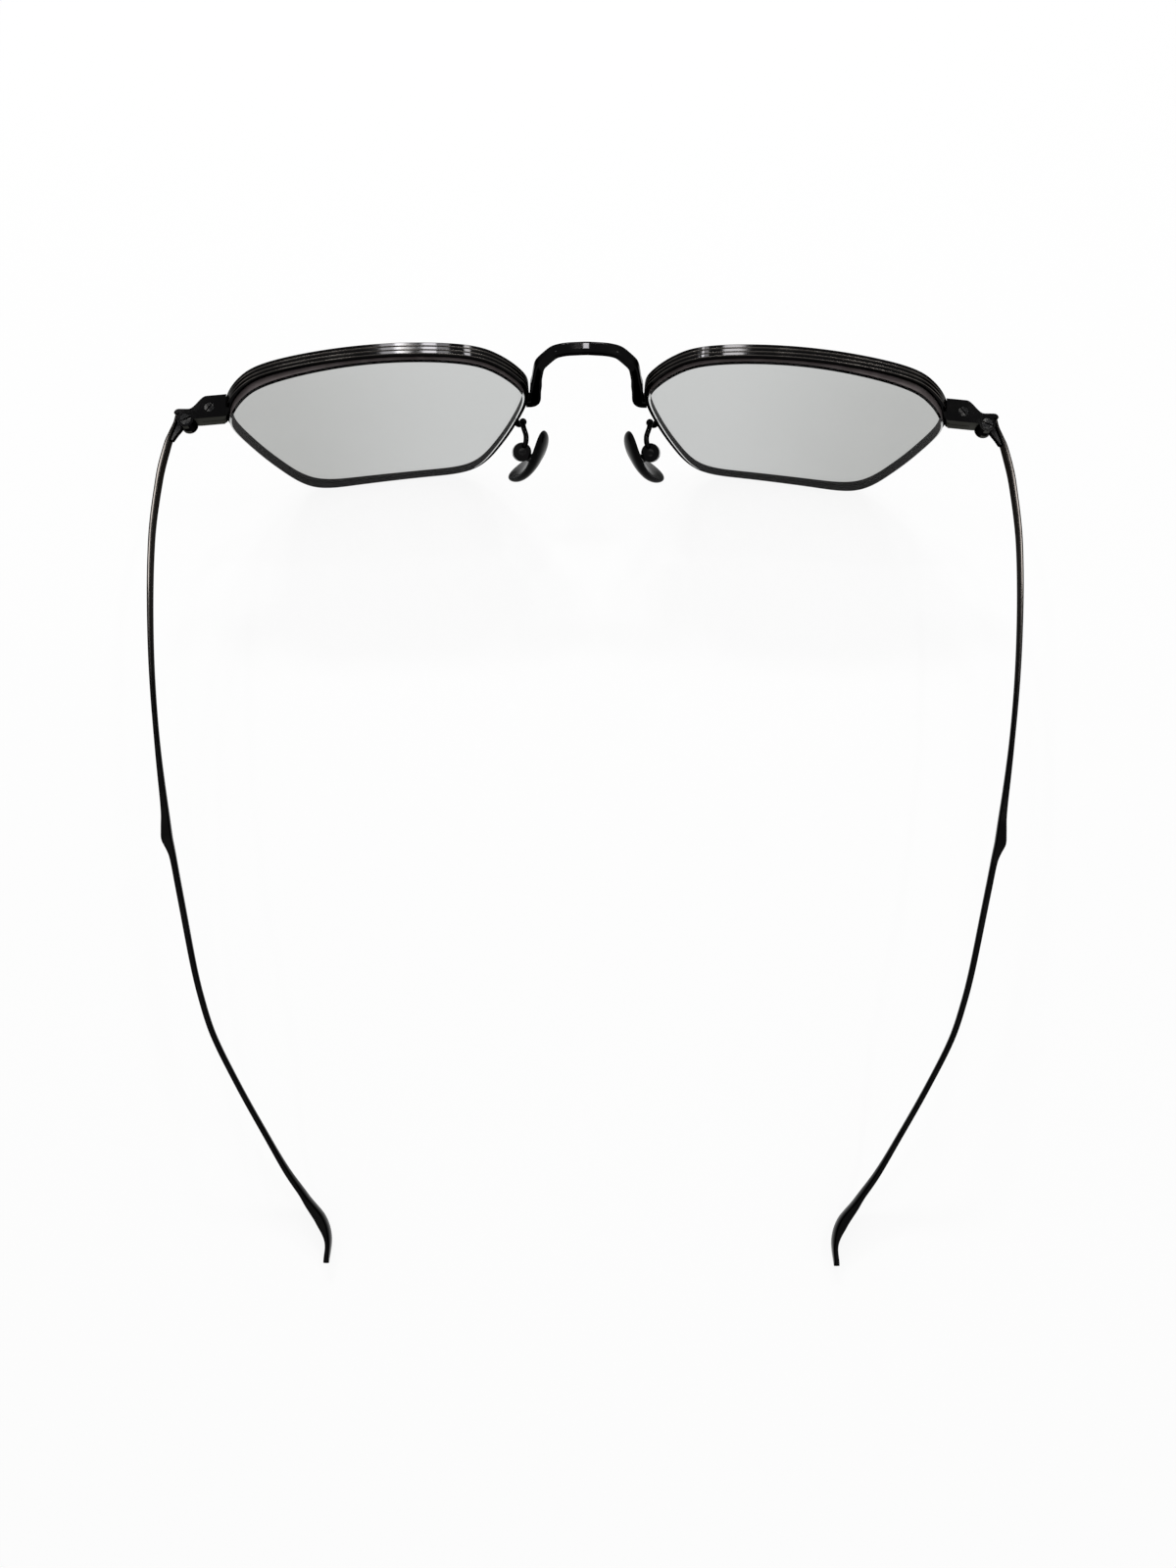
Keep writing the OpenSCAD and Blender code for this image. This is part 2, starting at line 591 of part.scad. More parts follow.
module pad_arm(side) {
    color(metal) both_sides(side) union() {
        bent_bar(arm_path, [for (p = arm_path) oval(arm_wire, arm_wire, 10)], [1, 0.3, 0], arm_out, box_axis);
        translate(arm_path[4]) sphere(d = ball_d, $fn = 24);
    }
}
// The round box that holds the pad's insert in a slot, on the pad screw
insert_wall = 1.1;
slot_gap = 0.08;
module pad_box(side) {
    slot = insert_wall + 2 * slot_gap;
    color(metal) both_sides(side) in_box() difference() {
        translate([0, 0, -box_height / 2]) cylinder(d = box_d, h = box_height, $fn = round_fn);
        translate([-box_d, -box_d, -slot / 2]) cube([box_d + 1.0, 2 * box_d, slot]);
        translate([0, 0, -box_height])
            cylinder(d = pad_shank + 2 * joint_gap, h = 2 * box_height, $fn = round_fn);
    }
}
module pad_screw(side) {
    color(steel) both_sides(side) in_box() translate([0, 0, box_height / 2 + pad_head_h + joint_gap])
        rotate([0, 0, 40])
            slotted_screw(pad_head, pad_head_h, pad_shank, box_height + pad_head_h, 0.25, 0.2);
}
pad_head = 1.25;
pad_head_h = 0.35;
// The metal insert: an eye that rocks on the pad screw and a foot that the pad is moulded on
foot_gap = 0.06;
module pad_insert(side) {
    foot = box_off - pad_wall / 2 - foot_gap;
    color(steel) both_sides(side) in_box() difference() {
        union() {
            translate([0, 0, -insert_wall / 2]) cylinder(d = 1.9, h = insert_wall, $fn = round_fn);
            translate([-foot, -0.7, -insert_wall / 2]) cube([foot, 1.4, insert_wall]);
        }
        translate([0, 0, -insert_wall])
            cylinder(d = pad_shank + 2 * running_gap, h = 2 * insert_wall, $fn = round_fn);
    }
}
// The pad: an oval cushion, flat on the lens side and crowned on the nose side
pad_rows = [
    [0.02, -0.5], [0.25, -0.49], [0.55, -0.44], [0.82, -0.3], [0.96, -0.12], [1, 0.12], [0.97, 0.34],
    [0.85, 0.46], [0.55, 0.5], [0.25, 0.5], [0.02, 0.5]
];
pad_curl = 1.7;
module nose_pad(side) {
    sides = 24;
    color(pad_black) both_sides(side) in_pad() sweep([
        for (r = pad_rows) [
            for (j = [0:sides - 1])
                let (y = r[0] * pad_width / 2 * sin(360 * j / sides),
                     z = r[0] * pad_length / 2 * cos(360 * j / sides))
                [r[1] * pad_wall + pad_curl * pow(2 * z / pad_length, 2), y, z]
        ]
    ]);
}

rim("left");  // rim_left
rim("right");  // rim_right
lens("left");  // lens_left
lens("right");  // lens_right
bridge();
end_piece("left");  // end_piece_left
end_piece("right");  // end_piece_right
closing_block("left");  // closing_block_left
closing_block("right");  // closing_block_right
rim_screw("left");  // rim_screw_left
rim_screw("right");  // rim_screw_right
hinge_screw("left");  // hinge_screw_left
hinge_screw("right");  // hinge_screw_right
pad_arm("left");  // pad_arm_left
pad_arm("right");  // pad_arm_right
pad_box("left");  // pad_box_left
pad_box("right");  // pad_box_right
pad_screw("left");  // pad_screw_left
pad_screw("right");  // pad_screw_right
pad_insert("left");  // pad_insert_left
pad_insert("right");  // pad_insert_right
nose_pad("left");  // nose_pad_left
nose_pad("right");  // nose_pad_right
temple("left");  // temple_left
temple("right");  // temple_right
temple_knuckle("left");  // temple_knuckle_left
temple_knuckle("right");  // temple_knuckle_right
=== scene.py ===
"""Looks for the hexagonal eyeglasses: fine meshes, finishes, light and camera round the frame."""

import json
import logging
import math
from dataclasses import dataclass
from enum import Enum
from functools import cached_property
from typing import TypeAlias

import bmesh
import bpy
from mathutils import Matrix, Vector


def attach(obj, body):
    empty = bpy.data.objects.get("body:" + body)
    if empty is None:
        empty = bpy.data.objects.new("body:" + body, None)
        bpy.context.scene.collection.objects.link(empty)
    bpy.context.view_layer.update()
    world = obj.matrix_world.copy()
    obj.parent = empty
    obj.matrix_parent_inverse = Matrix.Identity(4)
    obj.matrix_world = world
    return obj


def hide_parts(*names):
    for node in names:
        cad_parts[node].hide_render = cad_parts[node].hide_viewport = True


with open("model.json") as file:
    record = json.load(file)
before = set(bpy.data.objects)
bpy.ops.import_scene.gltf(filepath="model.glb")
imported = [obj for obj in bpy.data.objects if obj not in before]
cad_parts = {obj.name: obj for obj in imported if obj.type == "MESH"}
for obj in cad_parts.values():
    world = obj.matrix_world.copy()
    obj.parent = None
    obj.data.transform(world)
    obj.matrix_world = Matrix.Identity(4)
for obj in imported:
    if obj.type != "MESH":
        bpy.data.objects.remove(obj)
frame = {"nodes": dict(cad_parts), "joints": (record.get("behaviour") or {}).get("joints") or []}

LOG = logging.getLogger("eyeglasses")
MM = 0.001
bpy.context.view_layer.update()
# The left hinge pin, in metres
PIN = Vector(next(j["pos_m"] for j in frame["joints"] if j["name"] == "temple_fold_left"))

# How far inside a corner the points lie that keep a flat side flat in its shading, in millimetres
HOLD = 0.02
# The most of a side that the rounding at one of its ends may take
SIDE_SHARE = 0.48

Input: TypeAlias = "Field | float | tuple"
Table: TypeAlias = list[tuple[float, float]]
Rings: TypeAlias = list[list[Vector]]


class Side(Enum):
    """One side of the glasses, as the wearer says it, with the sign of its X."""

    LEFT = 1
    RIGHT = -1

    @property
    def word(self) -> str:
        """The side's name in the names of pieces and bodies."""
        return self.name.lower()


# Shader building


@dataclass(frozen=True)
class Field:
    """A value in a shader that takes the usual operators.

    Args:
        tree: The tree that the socket's node is in.
        socket: The node's output.
    """

    tree: "Tree"
    socket: bpy.types.NodeSocket

    def _math(self, operation: str, first: Input, second: Input) -> "Field":
        """Adds one Math node and hands back its result."""
        return self.tree.node("Math", {0: first, 1: second}, operation=operation)

    def __add__(self, other: Input) -> "Field":
        """Sum."""
        return self._math("ADD", self, other)

    __radd__ = __add__

    def __mul__(self, other: Input) -> "Field":
        """Product."""
        return self._math("MULTIPLY", self, other)

    def most(self, other: Input) -> "Field":
        """The larger of two values."""
        return self._math("MAXIMUM", self, other)

    def between(self, low: float, high: float) -> "Field":
        """Rises smoothly from 0 at low to 1 at high."""
        inputs = {"Value": self, "From Min": low, "From Max": high}
        return self.tree.node("MapRange", inputs, interpolation_type="SMOOTHSTEP")


class Tree:
    """The shader nodes of a material or of the world."""

    def __init__(self, owner: bpy.types.Material | bpy.types.World, output: str) -> None:
        """Starts an empty tree with its output node.

        Args:
            owner: The material or the world.
            output: The type of its output node.
        """
        owner.use_nodes = True
        self.tree = owner.node_tree
        self.tree.nodes.clear()
        self.output = self.tree.nodes.new(output)

    def node(self, kind: str, inputs: dict, outlet: int | str = 0, **settings: str) -> Field:
        """Adds any node.

        Args:
            kind: The node's type, without the leading ShaderNode.
            inputs: Its sockets, by name or number, with a value or a Field for each.
            outlet: The output to hand back.
            settings: Its properties.

        Returns:
            That output.
        """
        made = self.tree.nodes.new("ShaderNode" + kind)
        for name, value in settings.items():
            setattr(made, name, value)
        for name, value in inputs.items():
            self.feed(made.inputs[name], value)
        return Field(self, made.outputs[outlet])

    def feed(self, socket: bpy.types.NodeSocket, value: Input) -> None:
        """Fills one input socket.

        Args:
            socket: The socket.
            value: A value to set or a Field to link.
        """
        if isinstance(value, Field):
            self.tree.links.new(value.socket, socket)
        else:
            socket.default_value = value

    def surface(self, shading: Field) -> None:
        """Makes a shading the surface of the tree's owner."""
        self.feed(self.output.inputs["Surface"], shading)

    def background_rays(self) -> Field:
        """Tells the rays that look at the background.

        Returns:
            1 for rays from the camera, off metal and through glass, and 0 for light on the object.
        """
        seen = self.node("LightPath", {}, "Is Camera Ray")
        rays = seen.socket.node.outputs
        for kind in ("Is Transmission Ray", "Is Glossy Ray"):
            seen = seen.most(Field(self, rays[kind]))
        return seen


class Shader(Tree):
    """One material's nodes round a Principled shader."""

    def __init__(self, name: str) -> None:
        """Makes the material.

        Args:
            name: The material's name.
        """
        self.material = bpy.data.materials.new(name)
        super().__init__(self.material, "ShaderNodeOutputMaterial")
        self.bsdf = self.tree.nodes.new("ShaderNodeBsdfPrincipled")
        self.surface(Field(self, self.bsdf.outputs[0]))

    def principled(self, **inputs: Input) -> None:
        """Feeds the Principled shader; a name's underscores stand for spaces."""
        for name, value in inputs.items():
            self.feed(self.bsdf.inputs[name.replace("_", " ")], value)

    def place(self) -> Field:
        """The point on the surface, in metres."""
        return self.node("TexCoord", {}, "Object")

    def along(self, axis: str) -> Field:
        """The point's place along X, Y or Z, in metres."""
        return self.node("SeparateXYZ", {0: self.place()}, axis)

    def noise(self, scale: float, detail: float = 2.0, stretch: tuple = (1.0, 1.0, 1.0)) -> Field:
        """Noise round 0.5, with scale waves a metre times the stretch along each axis."""
        at = self.node("VectorMath", {0: self.place(), 1: stretch}, operation="MULTIPLY")
        return self.node("TexNoise", {"Vector": at, "Scale": scale, "Detail": detail})

    def blend(self, share: Input, first: Input, second: Input) -> Field:
        """Mixes two colours; the share is how much of the second shows."""
        return self.node("Mix", {0: share, 6: first, 7: second}, 2, data_type="RGBA")

    def bump(self, height: Field, strength: float, depth: float) -> None:
        """Roughens the surface by a height field, to a depth in metres."""
        inputs = {"Strength": strength, "Distance": depth, "Height": height}
        self.principled(Normal=self.node("Bump", inputs))


def grey(value: float) -> tuple:
    """A neutral colour."""
    return (value, value, value, 1.0)


@dataclass(frozen=True)
class Coat:
    """A finish with patches and grain; without other sizes, the glossy dark plating.

    Args:
        name: The material's name.
        tone: Its colour; for a metal, its reflectance seen straight on.
        pale: The colour that shows in its patches, where it is worn or dusty.
        gloss: Its roughness where it is smoothest.
        haze: The roughness that patches add.
        scratch: The roughness that grain adds.
        patches: The scale and octaves of the patches, and the noise where they start and are full.
        mix: How much of the pale colour patches and grain show.
        grain: The scale, octaves and stretch of the grain.
        bump: The strength of the grain's bump, and its depth in metres, if it has one.
        fade: An axis, the places on it, in metres, where another colour starts to fade and has
            gone, and that colour.
        slot: The record's slot for pieces with this finish; not used.
        sockets: Other inputs of the Principled shader.
    """

    name: str = "dark_plating"
    tone: tuple = (0.0045, 0.0044, 0.0046, 1.0)
    pale: tuple = (0.009, 0.0087, 0.0084, 1.0)
    gloss: float = 0.05
    haze: float = 0.06
    scratch: float = 0.02
    patches: tuple = (260.0, 3.0, 0.42, 0.72)
    mix: tuple = (0.5, 0.0)
    grain: tuple = (2600.0, 2.0, (1.0, 0.25, 1.0))
    bump: tuple | None = (0.03, 0.00002)
    fade: tuple | None = None
    slot: str = "frame_metal"
    sockets: tuple = (("Metallic", 1.0), ("Specular_Tint", grey(0.45)))

    def ground(self, shader: Shader) -> Input:
        """The colour under the patches."""
        return self.tone

    def material(self) -> bpy.types.Material:
        """Builds the material.

        Returns:
            The material.
        """
        shader = Shader(self.name)
        patches = shader.noise(*self.patches[:2]).between(*self.patches[2:])
        grain = shader.noise(*self.grain)
        patch_share, grain_share = self.mix
        share = patches * patch_share + grain * grain_share
        base = shader.blend(share, self.ground(shader), self.pale)
        if self.fade is not None:
            axis, start, end, colour = self.fade
            base = shader.blend(shader.along(axis).between(start, end), colour, base)
        roughness = self.gloss + patches * self.haze + grain * self.scratch
        shader.principled(Base_Color=base, Roughness=roughness, **dict(self.sockets))
        if self.bump is not None:
            shader.bump(grain, *self.bump)
        return shader.material


@dataclass(frozen=True)
class TintedLens(Coat):
    """The lens's finish, whose tint is a little deeper towards the temple.

    Args:
        deep: The tint at the temple side; the tone is the tint near the nose.
        nose_x: Distance from the middle where the tint starts to deepen, in metres.
        temple_x: Distance where the deep tint is reached, in metres.
    """

    deep: tuple = (0.46, 0.467, 0.457, 1.0)
    nose_x: float = 0.020
    temple_x: float = 0.060

    def ground(self, shader: Shader) -> Input:
        """The tint."""
        x = shader.along("X")
        outer = x.most(x * -1.0).between(self.nose_x, self.temple_x)
        return shader.blend(outer, self.tone, self.deep)


class Finish(Enum):
    """The finishes of the glasses."""

    PLATING = Coat()
    TEMPLE = Coat("temple_plating", fade=("Y", -0.040, -0.012, (0.017, 0.0155, 0.0142, 1.0)))
    # Lighter, rougher plating on the rims' ridge shoulders: painted sheen for the thin bright line
    # along each ridge.
    PAINTED_SHEEN = Coat(
        "painted_sheen_plating", (0.045, 0.041, 0.038, 1.0), (0.13, 0.12, 0.11, 1.0), gloss=0.22, haze=0.1
    )
    # Rougher plating on the rim locks, the end pieces' faces that look back and the curved solder
    # faces; its lighter tone is painted reflection.
    SATIN_REFLECTION = Coat(
        "satin_painted_reflection", (0.034, 0.034, 0.030, 1.0), (0.075, 0.074, 0.068, 1.0),
        gloss=0.34, haze=0.12,
    )
    LENS = TintedLens(
        "lens_tint", (0.56, 0.57, 0.565, 1.0), grey(0.62), gloss=0.004, haze=0.006, scratch=0.0,
        patches=(90.0, 2.0, 0.35, 0.75), mix=(0.06, 0.0), bump=None, slot="lens_glass",
        sockets=(("IOR", 1.5), ("Specular_Tint", grey(0.15)), ("Transmission_Weight", 1.0)),
    )
    # The lens's ground edge keeps its grey-brown tone up high. Below a height of about 21 mm it is
    # painted near black: painted shade for the edge where it sits in the rim channel and shows
    # through the lens.
    EDGE = Coat(
        "ground_edge", (0.060, 0.051, 0.051, 1.0), (0.11, 0.096, 0.096, 1.0),
        gloss=0.42, haze=0.0, scratch=0.2, slot="lens_glass",
        patches=(300.0, 2.0, 0.35, 0.7), mix=(0.6, 0.2), grain=(5200.0, 3.0), bump=(0.25, 0.00003),
        fade=("Z", 0.0205, 0.0275, (0.004, 0.0036, 0.0036, 1.0)),
        sockets=(("IOR", 1.2), ("Specular_IOR_Level", 0.05)),
    )
    STEEL = Coat(
        "turned_steel", (0.006, 0.006, 0.0062, 1.0), (0.032, 0.0315, 0.0305, 1.0),
        gloss=0.16, haze=0.0, scratch=0.12, slot="screw_steel", sockets=(("Metallic", 1.0),),
        patches=(900.0, 2.0, 0.4, 0.7), mix=(1.0, 0.0), grain=(7000.0,), bump=(0.2, 0.00002),
    )
    PAD = Coat(
        "pad_plastic", (0.0025, 0.0025, 0.0027, 1.0), (0.008, 0.0078, 0.0075, 1.0),
        gloss=0.16, haze=0.16, scratch=0.0, slot="pad_plastic", sockets=(("IOR", 1.08),),
        patches=(420.0, 3.0, 0.45, 0.75), grain=(1500.0, 3.0), bump=(0.1, 0.00002),
    )


# Mesh building, in millimetres in the hinge frame: hinge pins on y = 0 and z = 0


def place(point: Vector, side: Side) -> Vector:
    """Takes a left-hand point from the hinge frame to a side of the row frame, in metres."""
    y, z = PIN.y + point.y * MM, PIN.z + point.z * MM
    return Vector((side.value * point.x * MM, y, z))


def turn(angle: float, axis: str) -> Matrix:
    """Rotation by an angle in degrees about a named axis."""
    return Matrix.Rotation(math.radians(angle), 3, axis)


def add_object(name: str, data: bpy.types.ID) -> bpy.types.Object:
    """Puts a new object into the scene.

    Args:
        name: Its name.
        data: Its mesh, light or camera.

    Returns:
        The object.
    """
    made = bpy.data.objects.new(name, data)
    bpy.context.scene.collection.objects.link(made)
    return made


@dataclass(frozen=True)
class Piece:
    """What a new piece is.

    Args:
        name: Its name.
        body: The body that it moves with.
        finishes: Its finishes, in the order of its faces' numbers.
        sharp: The angle of an edge that stays sharp, in degrees.
        nodes: The CAD nodes that it stands for.
        second: Rows of each ring whose faces take the second finish.
    """

    name: str
    body: str
    finishes: tuple[Finish, ...]
    sharp: float
    nodes: tuple[str, ...] = ()
    second: range | tuple[int, ...] = ()


@dataclass
class Maker:
    """Turns rings of points into pieces that ride on the frame.

    Args:
        materials: The built material of each finish.
        bevel_angle: The angle from which an edge of a CAD node is softened, in degrees.
        rear_facing: The least Y of the normal of a face that counts as looking back.
    """

    materials: dict[Finish, bpy.types.Material]
    bevel_angle: float = 35.0
    rear_facing: float = 0.93

    def loft(self, piece: Piece, rings: Rings, side: Side) -> bpy.types.Object:
        """Builds a skin over rings of points, closed at both ends.

        Args:
            piece: What it is.
            rings: The rings, all of one length.
            side: Its side; the right side is mirrored.

        Returns:
            The new object.
        """
        shape = bmesh.new()
        rows = [[shape.verts.new(place(p, side)) for p in ring] for ring in rings]
        count = len(rings[0])
        for lower, upper in zip(rows, rows[1:]):
            for j in range(count):
                k = (j + 1) % count
                face = shape.faces.new((lower[j], lower[k], upper[k], upper[j]))
                face.material_index = int(j in piece.second)
        shape.faces.new(rows[0])
        shape.faces.new(rows[-1])
        return self.finish_mesh(piece, shape)

    def finish_mesh(self, piece: Piece, shape: bmesh.types.BMesh) -> bpy.types.Object:
        """Makes an object from a filled bmesh, and puts it on its body with its finish.

        Args:
            piece: What it is.
            shape: The mesh in the making, freed here.

        Returns:
            The new object.
        """
        bmesh.ops.recalc_face_normals(shape, faces=shape.faces)
        for face in shape.faces:
            face.smooth = True
        mesh = bpy.data.meshes.new(piece.name)
        shape.to_mesh(mesh)
        shape.free()
        mesh.set_sharp_from_angle(angle=math.radians(piece.sharp))
        for finish in piece.finishes:
            mesh.materials.append(self.materials[finish])
        made = add_object(piece.name, mesh)
        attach(made, piece.body)
        if piece.nodes:
            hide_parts(*piece.nodes)
        LOG.info("%s rides on %s", piece.name, piece.body)
        return made

    def carry_over(self, node: str, bevel: float, *finishes: Finish) -> None:
        """Keeps a CAD node, with soft edges and a finish.

        Args:
            node: The node's name.
            bevel: The width of the softened edges, in millimetres.
            finishes: Its finish, and that of the faces that look back, if they differ.
        """
        kept = frame["nodes"][node]
        kept.data.materials.clear()
        for finish in finishes:
            kept.data.materials.append(self.materials[finish])
        # The faces that look back take the second finish; on the end pieces it is the satin whose
        # lighter tone is painted reflection.
        if len(finishes) > 1:
            for face in kept.data.polygons:
                face.material_index = int(face.normal.y > self.rear_facing)
        soften = kept.modifiers.new("soft_edges", "BEVEL")
        soften.width = bevel * MM
        soften.segments = 2
        soften.limit_method = "ANGLE"
        soften.angle_limit = math.radians(self.bevel_angle)
        soften.harden_normals = True
        LOG.info("%s is carried over", node)


def smooth_table(table: Table, x: float) -> float:
    """Reads a table whose rows are joined by smooth cubics.

    Args:
        table: Rows of place and value.
        x: The place wanted.

    Returns:
        The value there.
    """
    row = 0
    while row < len(table) - 2 and x >= table[row + 1][0]:
        row += 1

    def slope(i: int) -> float:
        """Slope of the table at a row."""
        a, b = max(i - 1, 0), min(i + 1, len(table) - 1)
        return (table[b][1] - table[a][1]) / (table[b][0] - table[a][0])

    width = table[row + 1][0] - table[row][0]
    f = (x - table[row][0]) / width
    return (
        table[row][1] * (1 + 2 * f) * (1 - f) ** 2
        + slope(row) * width * f * (1 - f) ** 2
        + table[row + 1][1] * f * f * (3 - 2 * f)
        + slope(row + 1) * width * f * f * (f - 1)
    )


def straight_table(table: Table | tuple, x: float) -> float:
    """Reads a table whose rows are joined by straight lines.

    Args:
        table: Rows of place and value.
        x: The place wanted.

    Returns:
        The value there, held past both ends.
    """
    if x <= table[0][0]:
        return table[0][1]
    for (a, va), (b, vb) in zip(table, table[1:]):
        if x <= b:
            return va + (vb - va) * (x - a) / (b - a)
    return table[-1][1]


def arc(centre: tuple, radius: float, start: float, end: float, steps: int) -> Table:
    """Points along an arc.

    Args:
        centre: The centre.
        radius: The radius.
        start: The first angle, in degrees.
        end: The last angle, in degrees.
        steps: The number of steps.

    Returns:
        The points, both ends included.
    """
    angles = [math.radians(start + (end - start) * i / steps) for i in range(steps + 1)]
    x, y = centre
    return [(x + radius * math.cos(a), y + radius * math.sin(a)) for a in angles]


def circle(radius: float) -> Table:
    """The 24 points of a wire's round section."""
    return arc((0.0, 0.0), radius, start=0, end=345, steps=23)


def soft_rectangle(width: float, height: float, radius: float, steps: int = 5) -> Table:
    """Outline of a rectangle with round corners, anticlockwise, with points that hold its sides.

    Args:
        width: Its width.
        height: Its height.
        radius: The radius of its corners.
        steps: The number of steps in each corner.

    Returns:
        Its points.
    """
    points: Table = []
    a, b = width / 2 - radius, height / 2 - radius
    for quarter, (sx, sy) in enumerate(((1, 1), (-1, 1), (-1, -1), (1, -1))):
        corner = arc((sx * a, sy * b), radius, 90 * quarter, 90 * quarter + 90, steps)
        upright = (sx * width / 2, sy * (b - min(HOLD, b / 3)))
        level = (sx * (a - min(HOLD, a / 3)), sy * height / 2)
        points += [upright, *corner, level] if quarter % 2 == 0 else [level, *corner, upright]
    return points


def round_path(points: list[Vector], reach: float, steps: int) -> list[Vector]:
    """Rounds the corners of a path with parabolas.

    Args:
        points: The path's corners and ends.
        reach: How far each inner corner's rounding reaches along its sides.
        steps: The number of steps in each rounding.

    Returns:
        The rounded path.
    """
    path = [points[0]]
    for before, at, after in zip(points, points[1:], points[2:]):
        start, end = (
            at + (other - at).normalized() * min(reach, (other - at).length * SIDE_SHARE)
            for other in (before, after)
        )
        for i in range(steps + 1):
            f = i / steps
            path.append(start * (1 - f) ** 2 + at * 2 * f * (1 - f) + end * f * f)
    path.append(points[-1])
    return path


def swept(path: list[Vector], sections: list[Table], across: Vector) -> Rings:
    """Rings of a section carried along a path.

    Args:
        path: The path.
        sections: The section at each point of the path.
        across: A direction that the section's second axis stays close to.

    Returns:
        A ring for each point of the path.
    """
    rings = []
    for i, at in enumerate(path):
        along = (path[min(i + 1, len(path) - 1)] - path[max(i - 1, 0)]).normalized()
        up = (across - along * across.dot(along)).normalized()
        side = along.cross(up)
        rings.append([at + side * a + up * b for a, b in sections[i]])
    return rings


@dataclass(frozen=True)
class FrontPlan:
    """The front's driving sizes and the places that follow from them, in millimetres."""

    lens_spacing: float = 72.0
    hinge_rise: float = 7.4
    hinge_setback: float = 6.1
    front_tilt: float = 10.0
    front_wrap: float = 4.0
    corners: tuple = (
        (25.7, 5.3), (18.0, 14.2), (-18.0, 16.0), (-26.1, 7.5), (-14.9, -15.1), (16.3, -16.5)
    )
    rounds: tuple = (3.6, 8.4, 3.6, 8.4, 8.4, 8.4)
    edge_bow: float = 1.0
    front_radius: float = 132.0
    rear_radius: float = 97.0
    lens_centre: float = 2.4
    lens_decentre: float = 1.8
    lens_recess: float = 0.4
    rim_depth: float = 2.3
    rim_wall: float = 0.8
    rim_slit: float = 0.12
    fit: float = 0.02
    nose_corner: float = 12.0
    probe: float = 0.02
    halvings: int = 24

    @property
    def spans(self) -> int:
        """Number of spans of the lens outline's spline."""
        return 4 * len(self.corners)

    @property
    def lens_front(self) -> float:
        """Distance of the lens's front pole behind the rim's middle."""
        return self.lens_recess - self.rim_depth / 2

    @cached_property
    def controls(self) -> list[Vector]:
        """Control points of the lens outline."""
        points = []
        for k, corner in enumerate(self.corners):
            a, b = Vector(corner), Vector(self.corners[(k + 1) % len(self.corners)])
            along = (b - a).normalized()
            bow = self.edge_bow * Vector((along.y, -along.x))
            reach = self.rounds[k]
            share = reach / (b - a).length
            near = 4 * share * (1 - share) * bow
            points += [a, a + reach * along + near, (a + b) / 2 + bow, b - reach * along + near]
        return points

    def outline(self, t: float) -> Vector:
        """Point of the lens outline.

        Args:
            t: The place along the spline, from 0 to its number of spans.

        Returns:
            The point, across and up from the lens centre.
        """
        points, n = self.controls, self.spans
        i = math.floor(t)
        f = t - i
        a, b, c, d = (points[(i + k) % n] for k in (-1, 0, 1, 2))
        return (
            (1 - f) ** 3 * a
            + (3 * f**3 - 6 * f * f + 4) * b
            + (1 + 3 * f + 3 * f * f - 3 * f**3) * c
            + f**3 * d
        ) / 6

    def chord(self, t: float) -> Vector:
        """Short step along the outline about a place."""
        return self.outline(t + self.probe) - self.outline(t - self.probe)

    def outward(self, t: float) -> Vector:
        """Direction out of the outline."""
        along = self.chord(t).normalized()
        return Vector((along.y, -along.x))

    def sag(self, q: Vector) -> float:
        """Distance of the front sphere behind its pole."""
        return self.front_radius - math.sqrt(self.front_radius**2 - q.length_squared)

    def to_hinge(self, p: Vector) -> Vector:
        """Takes a point from the lens frame to the hinge frame."""
        middle = Vector((self.lens_spacing / 2, -self.hinge_setback, -self.hinge_rise))
        return middle + turn(self.front_wrap, "Z") @ turn(self.front_tilt, "X") @ p

    def point(self, t: float, out: float, back: float) -> Vector:
        """Place on the front.

        Args:
            t: The place along the outline.
            out: Distance outside the lens edge.
            back: Distance behind the rim's middle.

        Returns:
            The point in the hinge frame.
        """
        q = self.outline(t)
        edge = q + out * self.outward(t)
        return self.to_hinge(Vector((edge.x, self.sag(q) + back, edge.y)))

    def find_height(self, low: float, z: float, out: float, back: float) -> float:
        """Finds where the side of the outline that starts at a corner passes a height.

        Args:
            low: The corner's place along the outline.
            z: The height in the hinge frame.
            out: Distance outside the lens edge.
            back: Distance behind the rim's middle.

        Returns:
            The place along the outline.
        """
        high = low + 4
        above = self.point(low, out, back).z > z
        for _ in range(self.halvings):
            middle = (low + high) / 2
            if (self.point(middle, out, back).z > z) == above:
                low = middle
            else:
                high = middle
        return (low + high) / 2


